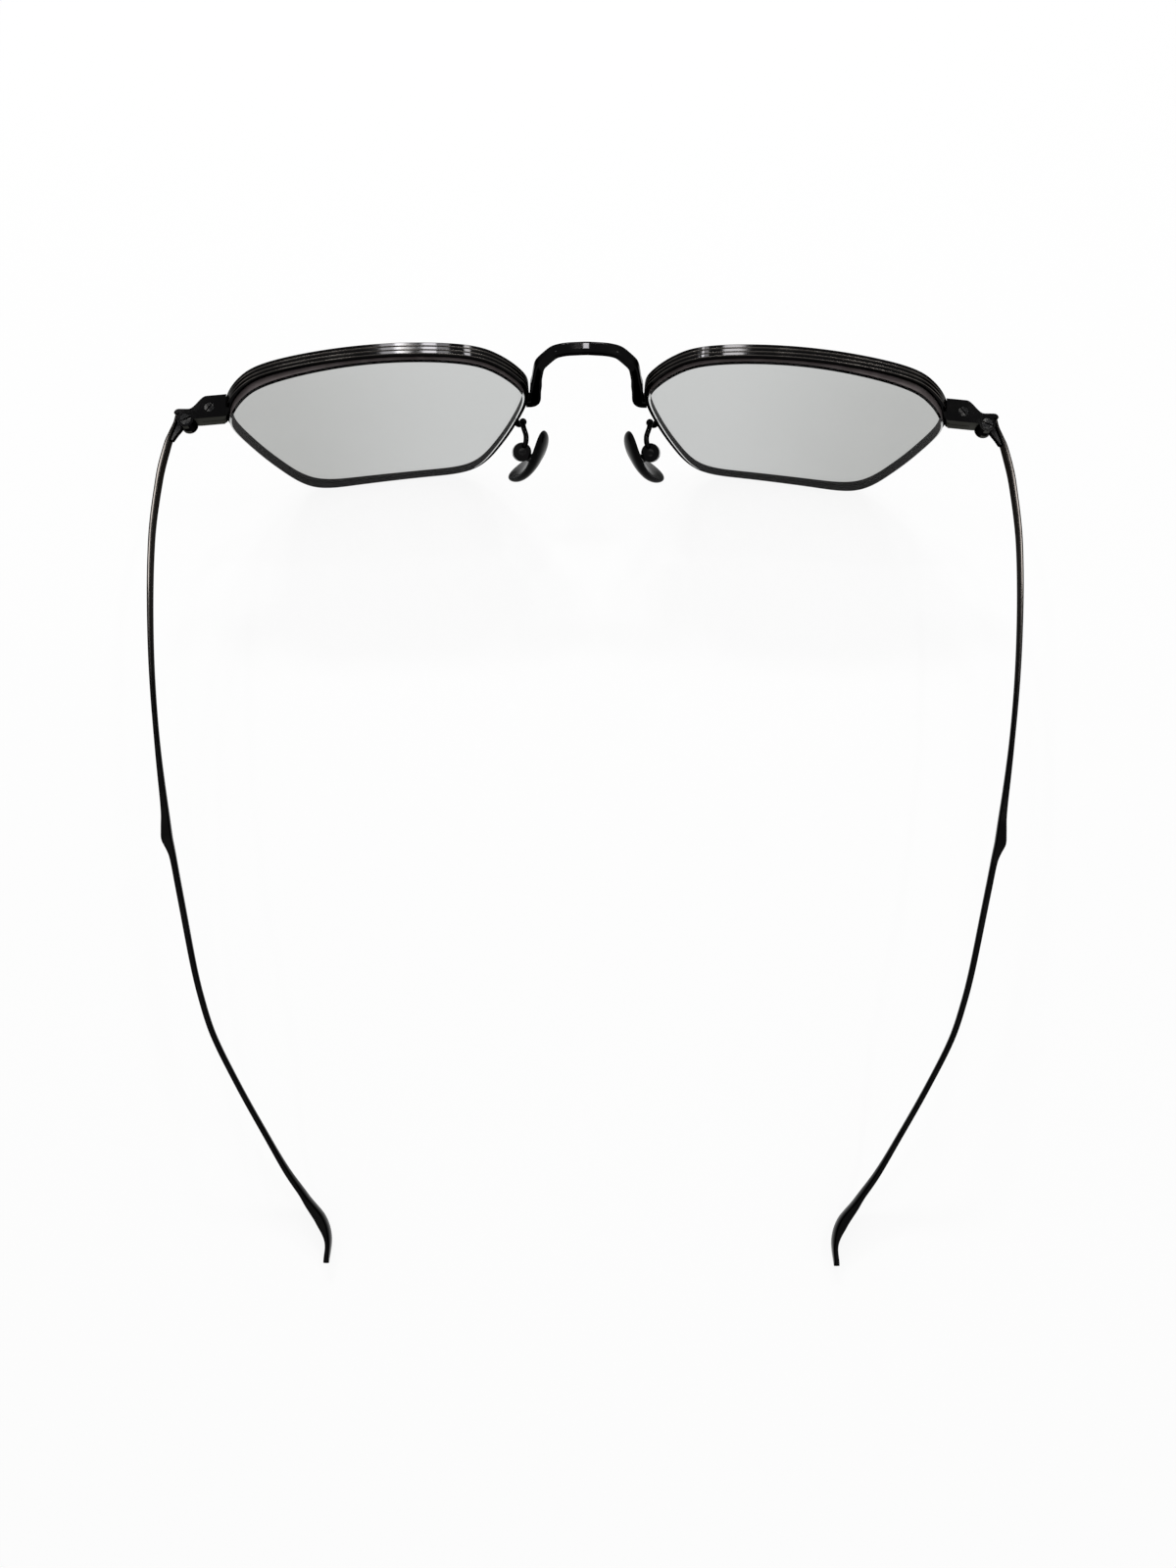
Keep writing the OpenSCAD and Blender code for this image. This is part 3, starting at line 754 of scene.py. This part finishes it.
@dataclass
class Rims:
    """The two rim wires, with three flat-topped ridges outside and the lens channel inside."""

    plan: FrontPlan
    maker: Maker
    stations: int = 300
    ridge_top: float = 0.25
    ridge_arc: float = 75.0
    arc_steps: int = 3
    channel_depth: float = 0.4
    channel_half: float = 0.4
    lip_round: float = 0.12

    def section(self) -> tuple[Table, tuple[int, ...]]:
        """Draws the rim's section.

        Returns:
            Its points, each a distance outside the lens edge and one behind the rim's middle, and
            the rows of its ridge shoulders, which take a lighter plating as painted sheen.
        """
        half, pitch = self.plan.rim_depth / 2, self.plan.rim_depth / 3
        lip, channel, depth = self.lip_round, self.channel_half, self.channel_depth
        points = [(0.0, -half + lip), (0.0, -channel), (depth, -channel), (depth, channel)]
        points += [(0.0, channel), (0.0, half - lip), (lip, half)]
        wall, top, bend = self.plan.rim_wall, self.ridge_top, self.ridge_arc
        shoulder = pitch / 2 - top
        x, steps = wall - shoulder, self.arc_steps
        sheen_rows: list[int] = []
        for middle in (pitch, 0.0, -pitch):
            first = len(points)
            points += arc((x, middle + top), shoulder, bend, 0, steps)
            points += [(wall, middle + top - HOLD), (wall, middle - top + HOLD)]
            last = len(points)
            points += arc((x, middle - top), shoulder, 0, -bend, steps)
            sheen_rows += [first + 1, first + 2, last, last + 1]
        points.append((lip, -half))
        return points, tuple(sheen_rows)

    def build(self, side: Side) -> None:
        """Builds one rim.

        Args:
            side: Its side.
        """
        plan = self.plan
        slit = plan.find_height(plan.spans, 0.0, plan.rim_wall, 0.0) - plan.spans
        pace = plan.chord(slit).length / (2 * plan.probe)
        half_gap = plan.rim_slit / 2 / pace
        section, sheen_rows = self.section()
        rings = []
        for i in range(self.stations + 1):
            t = slit + half_gap + (plan.spans - 2 * half_gap) * i / self.stations
            rings.append([plan.point(t, out, back) for out, back in section])
        name, node = f"rim_wire_{side.word}", f"rim_{side.word}"
        # The ridge shoulders take the lighter plating, painted sheen for the line along each ridge.
        finishes = (Finish.PLATING, Finish.PAINTED_SHEEN)
        piece = Piece(name, "front", finishes, sharp=32.0, nodes=(node,), second=sheen_rows)
        self.maker.loft(piece, rings, side)


@dataclass
class Lenses:
    """The two lenses, with a ground edge."""

    plan: FrontPlan
    maker: Maker
    stations: int = 240
    tongue_out: float = 0.28
    tongue_half: float = 0.28
    chamfer: float = 0.34
    face_rows: int = 14

    def rear(self, q: Vector) -> float:
        """Shapes the rear face.

        Args:
            q: The place, across and up from the lens centre.

        Returns:
            Its distance behind the rim's middle plane at its pole.
        """
        plan = self.plan
        start = plan.lens_front + plan.lens_centre + plan.rear_radius
        across = (q.x + plan.lens_decentre) ** 2 + q.y**2
        return start - math.sqrt(plan.rear_radius**2 - across)

    def ring(self, t: float) -> list[Vector]:
        """Section of the lens from near its front pole, round its edge, to near its rear pole.

        Args:
            t: The place along the outline.

        Returns:
            The section's points, in the hinge frame.
        """
        plan, rows, half = self.plan, self.face_rows, self.tongue_half
        q, out = plan.outline(t), plan.outward(t)
        edge = q - plan.fit * out
        tongue = q + self.tongue_out * out
        inner = q - (plan.fit + self.chamfer) * out
        middle = plan.sag(q)
        face = [edge * (r / rows) for r in range(1, rows + 1)]
        section = [(p, plan.sag(p) + plan.lens_front) for p in face]
        section += [
            (edge, middle - half), (tongue, middle - half), (tongue, middle + half),
            (edge, middle + half), (edge, self.rear(edge) - self.chamfer),
        ]
        section += [(p, self.rear(p)) for p in (inner * (r / rows) for r in range(rows, 0, -1))]
        return [plan.to_hinge(Vector((p.x, back, p.y))) for p, back in section]

    def build(self, side: Side) -> None:
        """Builds one lens as a closed skin.

        Args:
            side: Its side.
        """
        plan, shape = self.plan, bmesh.new()
        turns = [plan.spans * i / self.stations for i in range(self.stations)]
        rows = [[shape.verts.new(place(p, side)) for p in self.ring(t)] for t in turns]
        poles = [Vector((0.0, y, 0.0)) for y in (plan.lens_front, self.rear(Vector((0.0, 0.0))))]
        tips = [shape.verts.new(place(plan.to_hinge(p), side)) for p in poles]
        edge_rows = range(self.face_rows - 1, self.face_rows + 4)
        for lower, upper in zip(rows, rows[1:] + rows[:1]):
            for j in range(len(lower) - 1):
                face = shape.faces.new((lower[j], lower[j + 1], upper[j + 1], upper[j]))
                face.material_index = int(j in edge_rows)
            shape.faces.new((tips[0], lower[0], upper[0]))
            shape.faces.new((tips[1], upper[-1], lower[-1]))
        node, finishes = f"lens_{side.word}", (Finish.LENS, Finish.EDGE)
        piece = Piece(f"{node}_body", "front", finishes, sharp=30.0, nodes=(node,))
        self.maker.finish_mesh(piece, shape)


@dataclass
class Bridge:
    """The bent bar between the rims, with a thicker block at each foot."""

    plan: FrontPlan
    maker: Maker
    rise: float = 8.0
    front: float = 9.4
    leg_gap: float = 0.8
    width: float = 1.7
    depth: float = 1.8
    corner: float = 0.42
    foot_z: float = -3.2
    foot_growth: float = 1.15
    foot_top: float = 1.5
    foot_step: float = 0.1
    bend_reach: float = 0.8
    bend_steps: int = 6
    foot_steps: tuple = ((0.7, 0.0, 0.0), (0.17, -0.15, 0.7))
    leg_steps: tuple = ((0.05, -0.5, -0.1), (0.0, -0.6, 0.3), (-0.4, -1.4, 3.0))
    top_steps: tuple = (
        (-0.75, 1.4, -3.1), (-1.15, 1.2, -2.4), (-2.9, 0.55, -0.75), (-3.7, 0.3, -0.4),
        (-5.3, 0.1, -0.15),
    )

    def build(self) -> None:
        """Builds the bridge."""
        plan, growth = self.plan, self.foot_growth
        at = plan.find_height(plan.nose_corner, self.foot_z, plan.rim_wall, 0.0)
        root = plan.point(at, plan.rim_wall + plan.fit, 0.0)
        leg_x, leg_y = root.x - self.leg_gap - growth * self.width / 2, root.y
        half = [root]
        for start, steps in (
            ((leg_x, leg_y, self.foot_z), self.foot_steps),
            ((leg_x, leg_y, 0.0), self.leg_steps),
            ((leg_x, -self.front, self.rise), self.top_steps),
        ):
            half += [Vector([a + b for a, b in zip(start, step)]) for step in steps]
        other = [Vector((-p.x, p.y, p.z)) for p in reversed(half)]
        corners = half + [Vector((0.0, -self.front, self.rise))] + other
        path = round_path(corners, self.bend_reach, self.bend_steps)
        foot = ((self.foot_top - self.foot_step, 1.0), (self.foot_top + self.foot_step, 0.0))
        sections = []
        for at in path:
            grown = 1 + (growth - 1) * straight_table(foot, at.z)
            sections.append(soft_rectangle(self.width * grown, self.depth * grown, self.corner))
        rings = swept(path, sections, Vector((0.0, 1.0, 0.0)))
        piece = Piece("bridge_bar", "front", (Finish.PLATING,), sharp=50.0, nodes=("bridge",))
        self.maker.loft(piece, rings, Side.LEFT)


@dataclass
class Temples:
    """The two temples, each in one piece from the hinge to the ear end."""

    maker: Maker
    bend_at: float = 96.5
    reach: float = 139.7
    bow: float = 4.25
    inset: float = 25.2
    shoulder_at: float = 71.2
    wall: float = 0.72
    height: float = 1.7
    front_height: float = 1.9
    shoulder_wall: float = 1.83
    ear_wall: float = 0.92
    ear_height: float = 1.9
    paddle_wall: float = 1.7
    paddle_height: float = 4.2
    barrel: float = 1.4
    stop_y: float = -1.0
    tip_round: float = 1.2
    tip_flat: float = 0.8
    flat_side: float = 0.25
    flat_until: float = 28.0
    round_from: float = 54.0
    steps: int = 320
    tip_steps: tuple = (0.25, 0.1)
    corner_steps: int = 6
    probe: float = 0.3

    @cached_property
    def tables(self) -> dict[str, Table]:
        """Tables of place along the temple: against inner face, thickness, height and level."""
        bend, end, shoulder, stop = self.bend_at, self.reach, self.shoulder_at, self.stop_y
        bow, inset, barrel, wall = self.bow, -self.inset, self.barrel, self.wall
        height, paddle = self.height, self.paddle_height
        thick, thin = self.shoulder_wall, self.ear_wall
        ear = end - bend
        tip = -PIN.z / MM + 0.44 * paddle

        def bar(unit: float, *rows: tuple[float, float]) -> Table:
            """Rows given in shares of the way to the bend, and of a unit."""
            return [(a * bend, b * unit) for a, b in rows]

        def beyond(unit: float, *rows: tuple[float, float]) -> Table:
            """Rows given in shares of the way from the bend to the end, and of a unit."""
            return [(bend + a * ear, b * unit) for a, b in rows]

        return {
            "x": [
                (stop, barrel + 0.05), (0.5, barrel + 0.3), (2, barrel + 0.8), (4, barrel + 1.3),
                *bar(bow, (0.105, 0.87), (0.22, 1), (0.395, 0.757), (0.56, 0.264)),
                *bar(inset, (0.727, 0.084), (0.87, 0.218), (0.99, 0.333)),
                *beyond(inset, (0.116, 0.391), (0.28, 0.49), (0.465, 0.616), (0.63, 0.743)),
                *beyond(inset, (0.745, 0.867), (0.825, 0.968), (0.907, 1.007)), (end, inset),
            ],
            "w": [
                (stop, 0.42), (0.5, 0.45), (2, 0.52), (4, wall), (8, wall + 0.06), (14, wall),
                (shoulder - 20, wall), (shoulder - 9, wall + 0.25), (shoulder - 4.5, wall + 0.5),
                (shoulder - 2, thick - 0.2), (shoulder - 0.3, thick), (shoulder + 1.2, thick - 0.5),
                (shoulder + 2.4, thin + 0.1), (shoulder + 5, thin), *beyond(thin, (0.7, 1)),
                *beyond(self.paddle_wall, (0.82, 1)), (bend + 0.91 * ear, thin + 0.1),
                (end, thin + 0.1),
            ],
            "h": [
                (stop, self.front_height), (12, self.front_height), (28, height),
                (shoulder - 21, height), (shoulder - 9, height + 0.1), (shoulder, height + 0.5),
                (shoulder + 3.5, self.ear_height), *beyond(self.ear_height, (0.51, 1)),
                *beyond(paddle, (0.72, 0.86), (0.79, 1), (0.884, 1), (0.953, 0.76)),
                (end, 0.52 * paddle),
            ],
            "z": [
                (stop, 0), (0.907 * bend, 0), (0.98 * bend, 0.027 * tip),
                *beyond(tip, (0.093, 0.13), (0.28, 0.35), (0.58, 0.73), (0.81, 0.945), (0.93, 1)),
                (end, tip),
            ],
        }

    def read(self, table: str, y: float) -> float:
        """Reads one of the tables."""
        return smooth_table(self.tables[table], y)

    def inner(self, y: float) -> Vector:
        """Point on the temple's inner face at its middle height."""
        return Vector((PIN.x / MM + self.read("x", y), y, self.read("z", y)))

    def ring(self, y: float) -> list[Vector]:
        """Section of the temple.

        Args:
            y: The place along the temple.

        Returns:
            The section's points.
        """
        along = (self.inner(y + self.probe) - self.inner(y - self.probe)).normalized()
        if y <= self.stop_y:
            along = Vector((0.0, 1.0, 0.0))
        side = along.cross(Vector((0.0, 0.0, 1.0))).normalized()
        up = side.cross(along)
        width, height = self.read("w", y), self.read("h", y)
        left = self.reach - y
        if left < self.tip_round:
            height *= math.sqrt(1 - self.tip_flat * (1 - left / self.tip_round) ** 2)
        share = straight_table(((self.flat_until, 1.0), (self.round_from, 0.0)), y)
        corner = min(self.flat_side, SIDE_SHARE * width)
        points = []
        for a, b in soft_rectangle(width, height, corner, self.corner_steps):
            angle = math.atan2(b / height, a / width)
            across = share * a + (1 - share) * width / 2 * math.cos(angle)
            rise = share * b + (1 - share) * height / 2 * math.sin(angle)
            points.append(self.inner(y) + (width / 2 + across) * side + rise * up)
        return points

    def build(self, side: Side) -> None:
        """Builds one temple.

        Args:
            side: Its side.
        """
        length = self.reach - self.stop_y
        places = [self.stop_y + length * i / self.steps for i in range(self.steps + 1)]
        places += [self.reach - step for step in self.tip_steps]
        rings = [self.ring(y) for y in sorted(places)]
        name, node = f"temple_bar_{side.word}", f"temple_{side.word}"
        piece = Piece(name, node, (Finish.TEMPLE,), sharp=40.0, nodes=(node,))
        self.maker.loft(piece, rings, side)


@dataclass
class NosePads:
    """The nose pads, with their arms, boxes, inserts and screws."""

    plan: FrontPlan
    maker: Maker
    gap: float = 3.1
    back: float = 3.0
    drop: float = 7.6
    splay: float = 30.0
    flare: float = 19.5
    lean: float = 18.0
    length: float = 14.6
    width: float = 7.0
    wall: float = 1.5
    curl: float = 1.7
    stations: int = 48
    wire: float = 0.9
    solder: float = 0.08
    bead: float = 1.3
    bead_bend: int = 4
    bead_lifts: range = range(-84, 85, 14)
    root_z: float = -7.5
    box_d: float = 3.2
    box_height: float = 2.6
    box_gap: float = 0.25
    screw_lean: float = 35.0
    wire_off: float = 0.3
    wire_inset: float = 0.06
    wire_rise: float = 0.55
    bend_reach: float = 0.6
    bend_steps: int = 4
    root_steps: tuple = (
        (-0.03, 0.69, 0.08), (-0.6, 1.15, 0.7), (-1.05, 1.4, 1.8), (-1.25, 1.6, 2.7),
        (-1.25, 2.2, 3.1), (-1.45, 3.2, 3.5),
    )
    top_steps: tuple = (
        (-0.35, -1.35, 1.4), (-0.4, -0.55, 1.5), (-0.35, 0.0, 1.35), (-0.2, 0.25, 0.95)
    )
    rows: tuple = (
        (0.02, -0.72), (0.25, -0.71), (0.55, -0.65), (0.82, -0.48), (0.96, -0.22), (1.0, 0.1),
        (0.97, 0.34), (0.85, 0.46), (0.55, 0.5), (0.25, 0.5), (0.02, 0.5),
    )

    @cached_property
    def root(self) -> Vector:
        """Where the arm is soldered to the rear of the rim."""
        plan, over = self.plan, self.wire / 2 + self.solder
        at = plan.find_height(plan.nose_corner, self.root_z, over, plan.rim_depth / 2)
        return plan.point(at, over, plan.rim_depth / 2 + plan.fit)

    def to_hinge(self, p: Vector) -> Vector:
        """Takes a point from the pad's frame to the hinge frame."""
        turned = turn(-self.splay, "Z") @ turn(-self.flare, "Y") @ turn(self.lean, "X") @ p
        return Vector((self.root.x - self.gap, self.back, -self.drop)) + turned

    def box_to_hinge(self, p: Vector) -> Vector:
        """Takes a point from the round box's frame to the hinge frame."""
        off = Vector((self.wall / 2 + self.box_gap + self.box_d / 2, 0.0, 0.0))
        return self.to_hinge(off + turn(-self.screw_lean, "X") @ p)

    def build_arm(self, side: Side) -> None:
        """Bends one pad arm from its wire, with the bead at its bend.

        Args:
            side: Its side.
        """
        level = self.box_height / 2 + self.plan.fit
        rim = (self.wire - self.box_d) / 2 + self.wire_inset
        top = self.box_to_hinge(Vector((self.wire_off, rim, level)))
        foot, head = (self.box_to_hinge(Vector((0, 0, z))) for z in (0, 1))
        bends = [self.root] + [self.root + Vector(step) for step in self.root_steps]
        bends += [top + Vector(step) for step in self.top_steps]
        bends += [top + self.wire_rise * (head - foot).normalized(), top]
        path = round_path(bends, self.bend_reach, self.bend_steps)
        rings = swept(path, [circle(self.wire / 2)] * len(path), Vector((1.0, 0.3, 0.0)))
        node = f"pad_arm_{side.word}"
        wire = Piece(f"{node}_wire", "front", (Finish.PLATING,), sharp=50.0, nodes=(node,))
        self.maker.loft(wire, rings, side)
        bead, radius = [], self.bead / 2
        for lift in map(math.radians, self.bead_lifts):
            rim, z = circle(radius * math.cos(lift)), radius * math.sin(lift)
            bead.append([bends[self.bead_bend] + Vector((x, y, z)) for x, y in rim])
        self.maker.loft(Piece(f"{node}_bead", "front", (Finish.PLATING,), sharp=60.0), bead, side)

    def build_pad(self, side: Side) -> None:
        """Builds one pad.

        Args:
            side: Its side.
        """
        angles = [2 * math.pi * j / self.stations for j in range(self.stations)]
        rings = []
        for reach, level in self.rows:
            ring = []
            for angle in angles:
                y = reach * self.width / 2 * math.sin(angle)
                z = reach * self.length / 2 * math.cos(angle)
                bend = self.curl * (2 * z / self.length) ** 2
                ring.append(self.to_hinge(Vector((level * self.wall + bend, y, z))))
            rings.append(ring)
        body = f"pad_{side.word}"
        piece = Piece(f"{body}_cushion", body, (Finish.PAD,), sharp=80.0, nodes=(f"nose_{body}",))
        smoother = self.maker.loft(piece, rings, side).modifiers.new("smooth", "SUBSURF")
        smoother.levels = smoother.render_levels = 2

    def build(self, side: Side) -> None:
        """Builds one side's pad and dresses its fittings.

        Args:
            side: Their side.
        """
        self.build_pad(side)
        self.build_arm(side)
        for node, bevel, finish in (
            ("pad_box", 0.12, Finish.PLATING),
            ("pad_screw", 0.05, Finish.STEEL),
            ("pad_insert", 0.06, Finish.STEEL),
        ):
            self.maker.carry_over(f"{node}_{side.word}", bevel, finish)


@dataclass
class Hinges:
    """The end pieces, rim locks and hinges, with the solder between them and the rims."""

    plan: FrontPlan
    maker: Maker
    lock_slit: float = 0.07
    lock_half: float = 1.27
    lock_rear: float = -0.58
    lock_edge: tuple = ((-1.3, 61.59), (0.0, 61.38), (1.3, 60.87))
    rim_out: float = 0.25
    rim_inset: float = 0.05
    lock_inset: float = 0.4
    depth: float = 0.3
    rim_swell: float = 0.08
    lock_swell: float = 0.03
    fillet_steps: int = 6
    slices: int = 8

    def fillet_ring(self, z: float) -> list[Vector]:
        """Level slice of the solder fillet behind the rim.

        Args:
            z: The height in the hinge frame.

        Returns:
            The slice's points.
        """
        plan, half, rear = self.plan, self.plan.rim_depth / 2, self.lock_rear
        t = plan.find_height(plan.spans, z, self.rim_out, half)
        start = plan.point(t, self.rim_out, half - self.rim_inset)
        edge = straight_table(self.lock_edge, z)
        inside, front = edge + self.lock_inset, start.y - self.depth
        corner = Vector((start.x + self.rim_swell, rear, z))
        end = Vector((edge + self.lock_swell, rear, z))
        points = [Vector((inside, front, z)), Vector((inside, rear, z))]
        for i in range(self.fillet_steps + 1):
            f = i / self.fillet_steps
            points.append(end * (1 - f) ** 2 + corner * 2 * f * (1 - f) + start * f * f)
        points.append(Vector((start.x, front, z)))
        return points

    def build_solder(self, side: Side) -> None:
        """Fills the corner between the rim and the two halves of the rim lock.

        Args:
            side: Its side.
        """
        curved = range(2, 2 + self.fillet_steps)
        slit, half, count = self.lock_slit, self.lock_half, self.slices
        for word, low, high in (("upper", slit, half), ("lower", -half, -slit)):
            rings = [self.fillet_ring(low + (high - low) * i / count) for i in range(count + 1)]
            # The curved faces take the satin whose lighter tone is painted reflection.
            name, finishes = f"solder_{word}_{side.word}", (Finish.PLATING, Finish.SATIN_REFLECTION)
            piece = Piece(name, "front", finishes, sharp=50.0, second=curved)
            self.maker.loft(piece, rings, side)

    def build(self, side: Side) -> None:
        """Dresses one side's end piece and hinge.

        Args:
            side: Their side.
        """
        self.build_solder(side)
        # The closing blocks, and the rear faces of the end pieces, take the satin whose lighter
        # tone is painted reflection.
        for node, bevel, *finishes in (
            ("end_piece", 0.12, Finish.PLATING, Finish.SATIN_REFLECTION),
            ("closing_block", 0.10, Finish.SATIN_REFLECTION),
            ("temple_knuckle", 0.05, Finish.PLATING),
            ("rim_screw", 0.05, Finish.STEEL),
            ("hinge_screw", 0.05, Finish.STEEL),
        ):
            self.maker.carry_over(f"{node}_{side.word}", bevel, *finishes)


@dataclass(frozen=True)
class Lamp:
    """One studio lamp.

    Args:
        name: The lamp's name.
        place: Where it stands, in metres.
        target: What it shines at, in metres.
        size: The width and height of its face, in metres.
        power: Its power, in watts.
    """

    name: str
    place: tuple
    target: tuple
    size: tuple
    power: float

    def build(self) -> None:
        """Hangs the lamp."""
        data = bpy.data.lights.new(self.name, "AREA")
        data.shape = "RECTANGLE"
        data.size, data.size_y = self.size
        data.energy = self.power
        lamp = add_object(self.name, data)
        lamp.location = self.place
        lamp.rotation_mode = "QUATERNION"
        aim = Vector(self.target) - Vector(self.place)
        lamp.rotation_quaternion = aim.to_track_quat("-Z", "Y")


@dataclass
class Studio:
    """The floor, the light and the camera."""

    camera_place: tuple = (-0.64, 94.56, 185.70)
    camera_lean: float = 10.0
    camera_roll: float = 0.33
    clip: tuple = (0.01, 20.0)
    image_height: float = 1600.0
    focal_length: float = 1200.0
    room_tone: float = 0.42
    floor_glow: float = 0.9
    floor_half: float = 3.0
    floor_drop: float = 0.0002
    left_lens: tuple = (0.03, -0.07, 0.03)
    lamps: tuple = (
        Lamp("soft_top", (-0.25, 0.25, 0.75), (0.0, 0.0, 0.0), (0.5, 0.5), 0.3),
        Lamp("pane_a", (0.207, -0.676, 0.529), left_lens, (0.028, 0.06), 0.32),
        Lamp("pane_b", (0.183, -0.679, 0.534), left_lens, (0.020, 0.06), 0.95),
        Lamp("pane_c", (0.123, -0.684, 0.540), left_lens, (0.036, 0.06), 1.05),
        Lamp("pane_d", (0.078, -0.688, 0.542), left_lens, (0.045, 0.06), 0.28),
        Lamp("pane_e", (-0.085, -0.688, 0.540), (-0.03, -0.07, 0.03), (0.070, 0.06), 1.30),
        Lamp("bar_pane", (0.010, -0.479, 0.723), (0.0, -0.07, 0.03), (0.07, 0.03), 0.80),
        Lamp("long_left", (0.361, -0.340, 0.775), (0.361, -0.05, 0.025), (0.035, 0.18), 0.75),
        Lamp("long_right", (-0.361, -0.305, 0.775), (-0.361, -0.04, 0.025), (0.035, 0.25), 1.05),
    )

    def build(self) -> None:
        """Sets up the studio."""
        self.build_world()
        self.build_floor()
        for lamp in self.lamps:
            lamp.build()
        self.build_camera()

    def build_world(self) -> None:
        """White wherever it is seen, also in metal and glass, and a plain light on the rest."""
        world = bpy.data.worlds.new("studio")
        bpy.context.scene.world = world
        tree = Tree(world, "ShaderNodeOutputWorld")
        room = tree.node("Background", {"Color": grey(self.room_tone)})
        white = tree.node("Background", {"Color": grey(1.0)})
        tree.surface(tree.node("MixShader", {0: tree.background_rays(), 1: room, 2: white}))

    def build_floor(self) -> None:
        """A pale table top that shows white with a faint shadow."""
        shader = Shader("table_top")
        shader.principled(Base_Color=grey(0.80), Roughness=0.7)
        glow = shader.node("Emission", {"Color": grey(1.0), "Strength": 1.0})
        matt = Field(shader, shader.bsdf.outputs[0])
        seen = shader.background_rays() * self.floor_glow
        shader.surface(shader.node("MixShader", {0: seen, 1: matt, 2: glow}))
        shape = bmesh.new()
        bmesh.ops.create_grid(shape, x_segments=4, y_segments=4, size=self.floor_half)
        mesh = bpy.data.meshes.new("table_top")
        shape.to_mesh(mesh)
        shape.free()
        floor = add_object("table_top", mesh)
        floor.location.z = -self.floor_drop
        floor.data.materials.append(shader.material)

    def build_camera(self) -> None:
        """Puts the camera at the photograph's viewing angle."""
        data = bpy.data.cameras.new("camera")
        data.lens = self.focal_length * data.sensor_width / self.image_height
        data.clip_start, data.clip_end = self.clip
        camera = add_object("camera", data)
        camera.location = place(Vector(self.camera_place), Side.LEFT)
        lean = math.radians(self.camera_lean)
        back = Vector((0.0, math.sin(lean), math.cos(lean)))
        up = Vector((0.0, -math.cos(lean), math.sin(lean)))
        level = Matrix((up.cross(back), up, back)).transposed()
        camera.rotation_mode = "QUATERNION"
        camera.rotation_quaternion = (level @ turn(self.camera_roll, "Z")).to_quaternion()
        bpy.context.scene.camera = camera
        bpy.context.scene.view_settings.view_transform = "Standard"


def main() -> None:
    """Builds the glasses and their studio."""
    logging.basicConfig(level=logging.INFO, format="%(message)s")
    plan = FrontPlan()
    maker = Maker({finish: finish.value.material() for finish in Finish})
    fronts = [kind(plan, maker) for kind in (Rims, Lenses, Hinges)]
    for side in Side:
        for part in (*fronts, Temples(maker), NosePads(plan, maker)):
            part.build(side)
    Bridge(plan, maker).build()
    Studio().build()


if __name__ == "__main__":
    main()
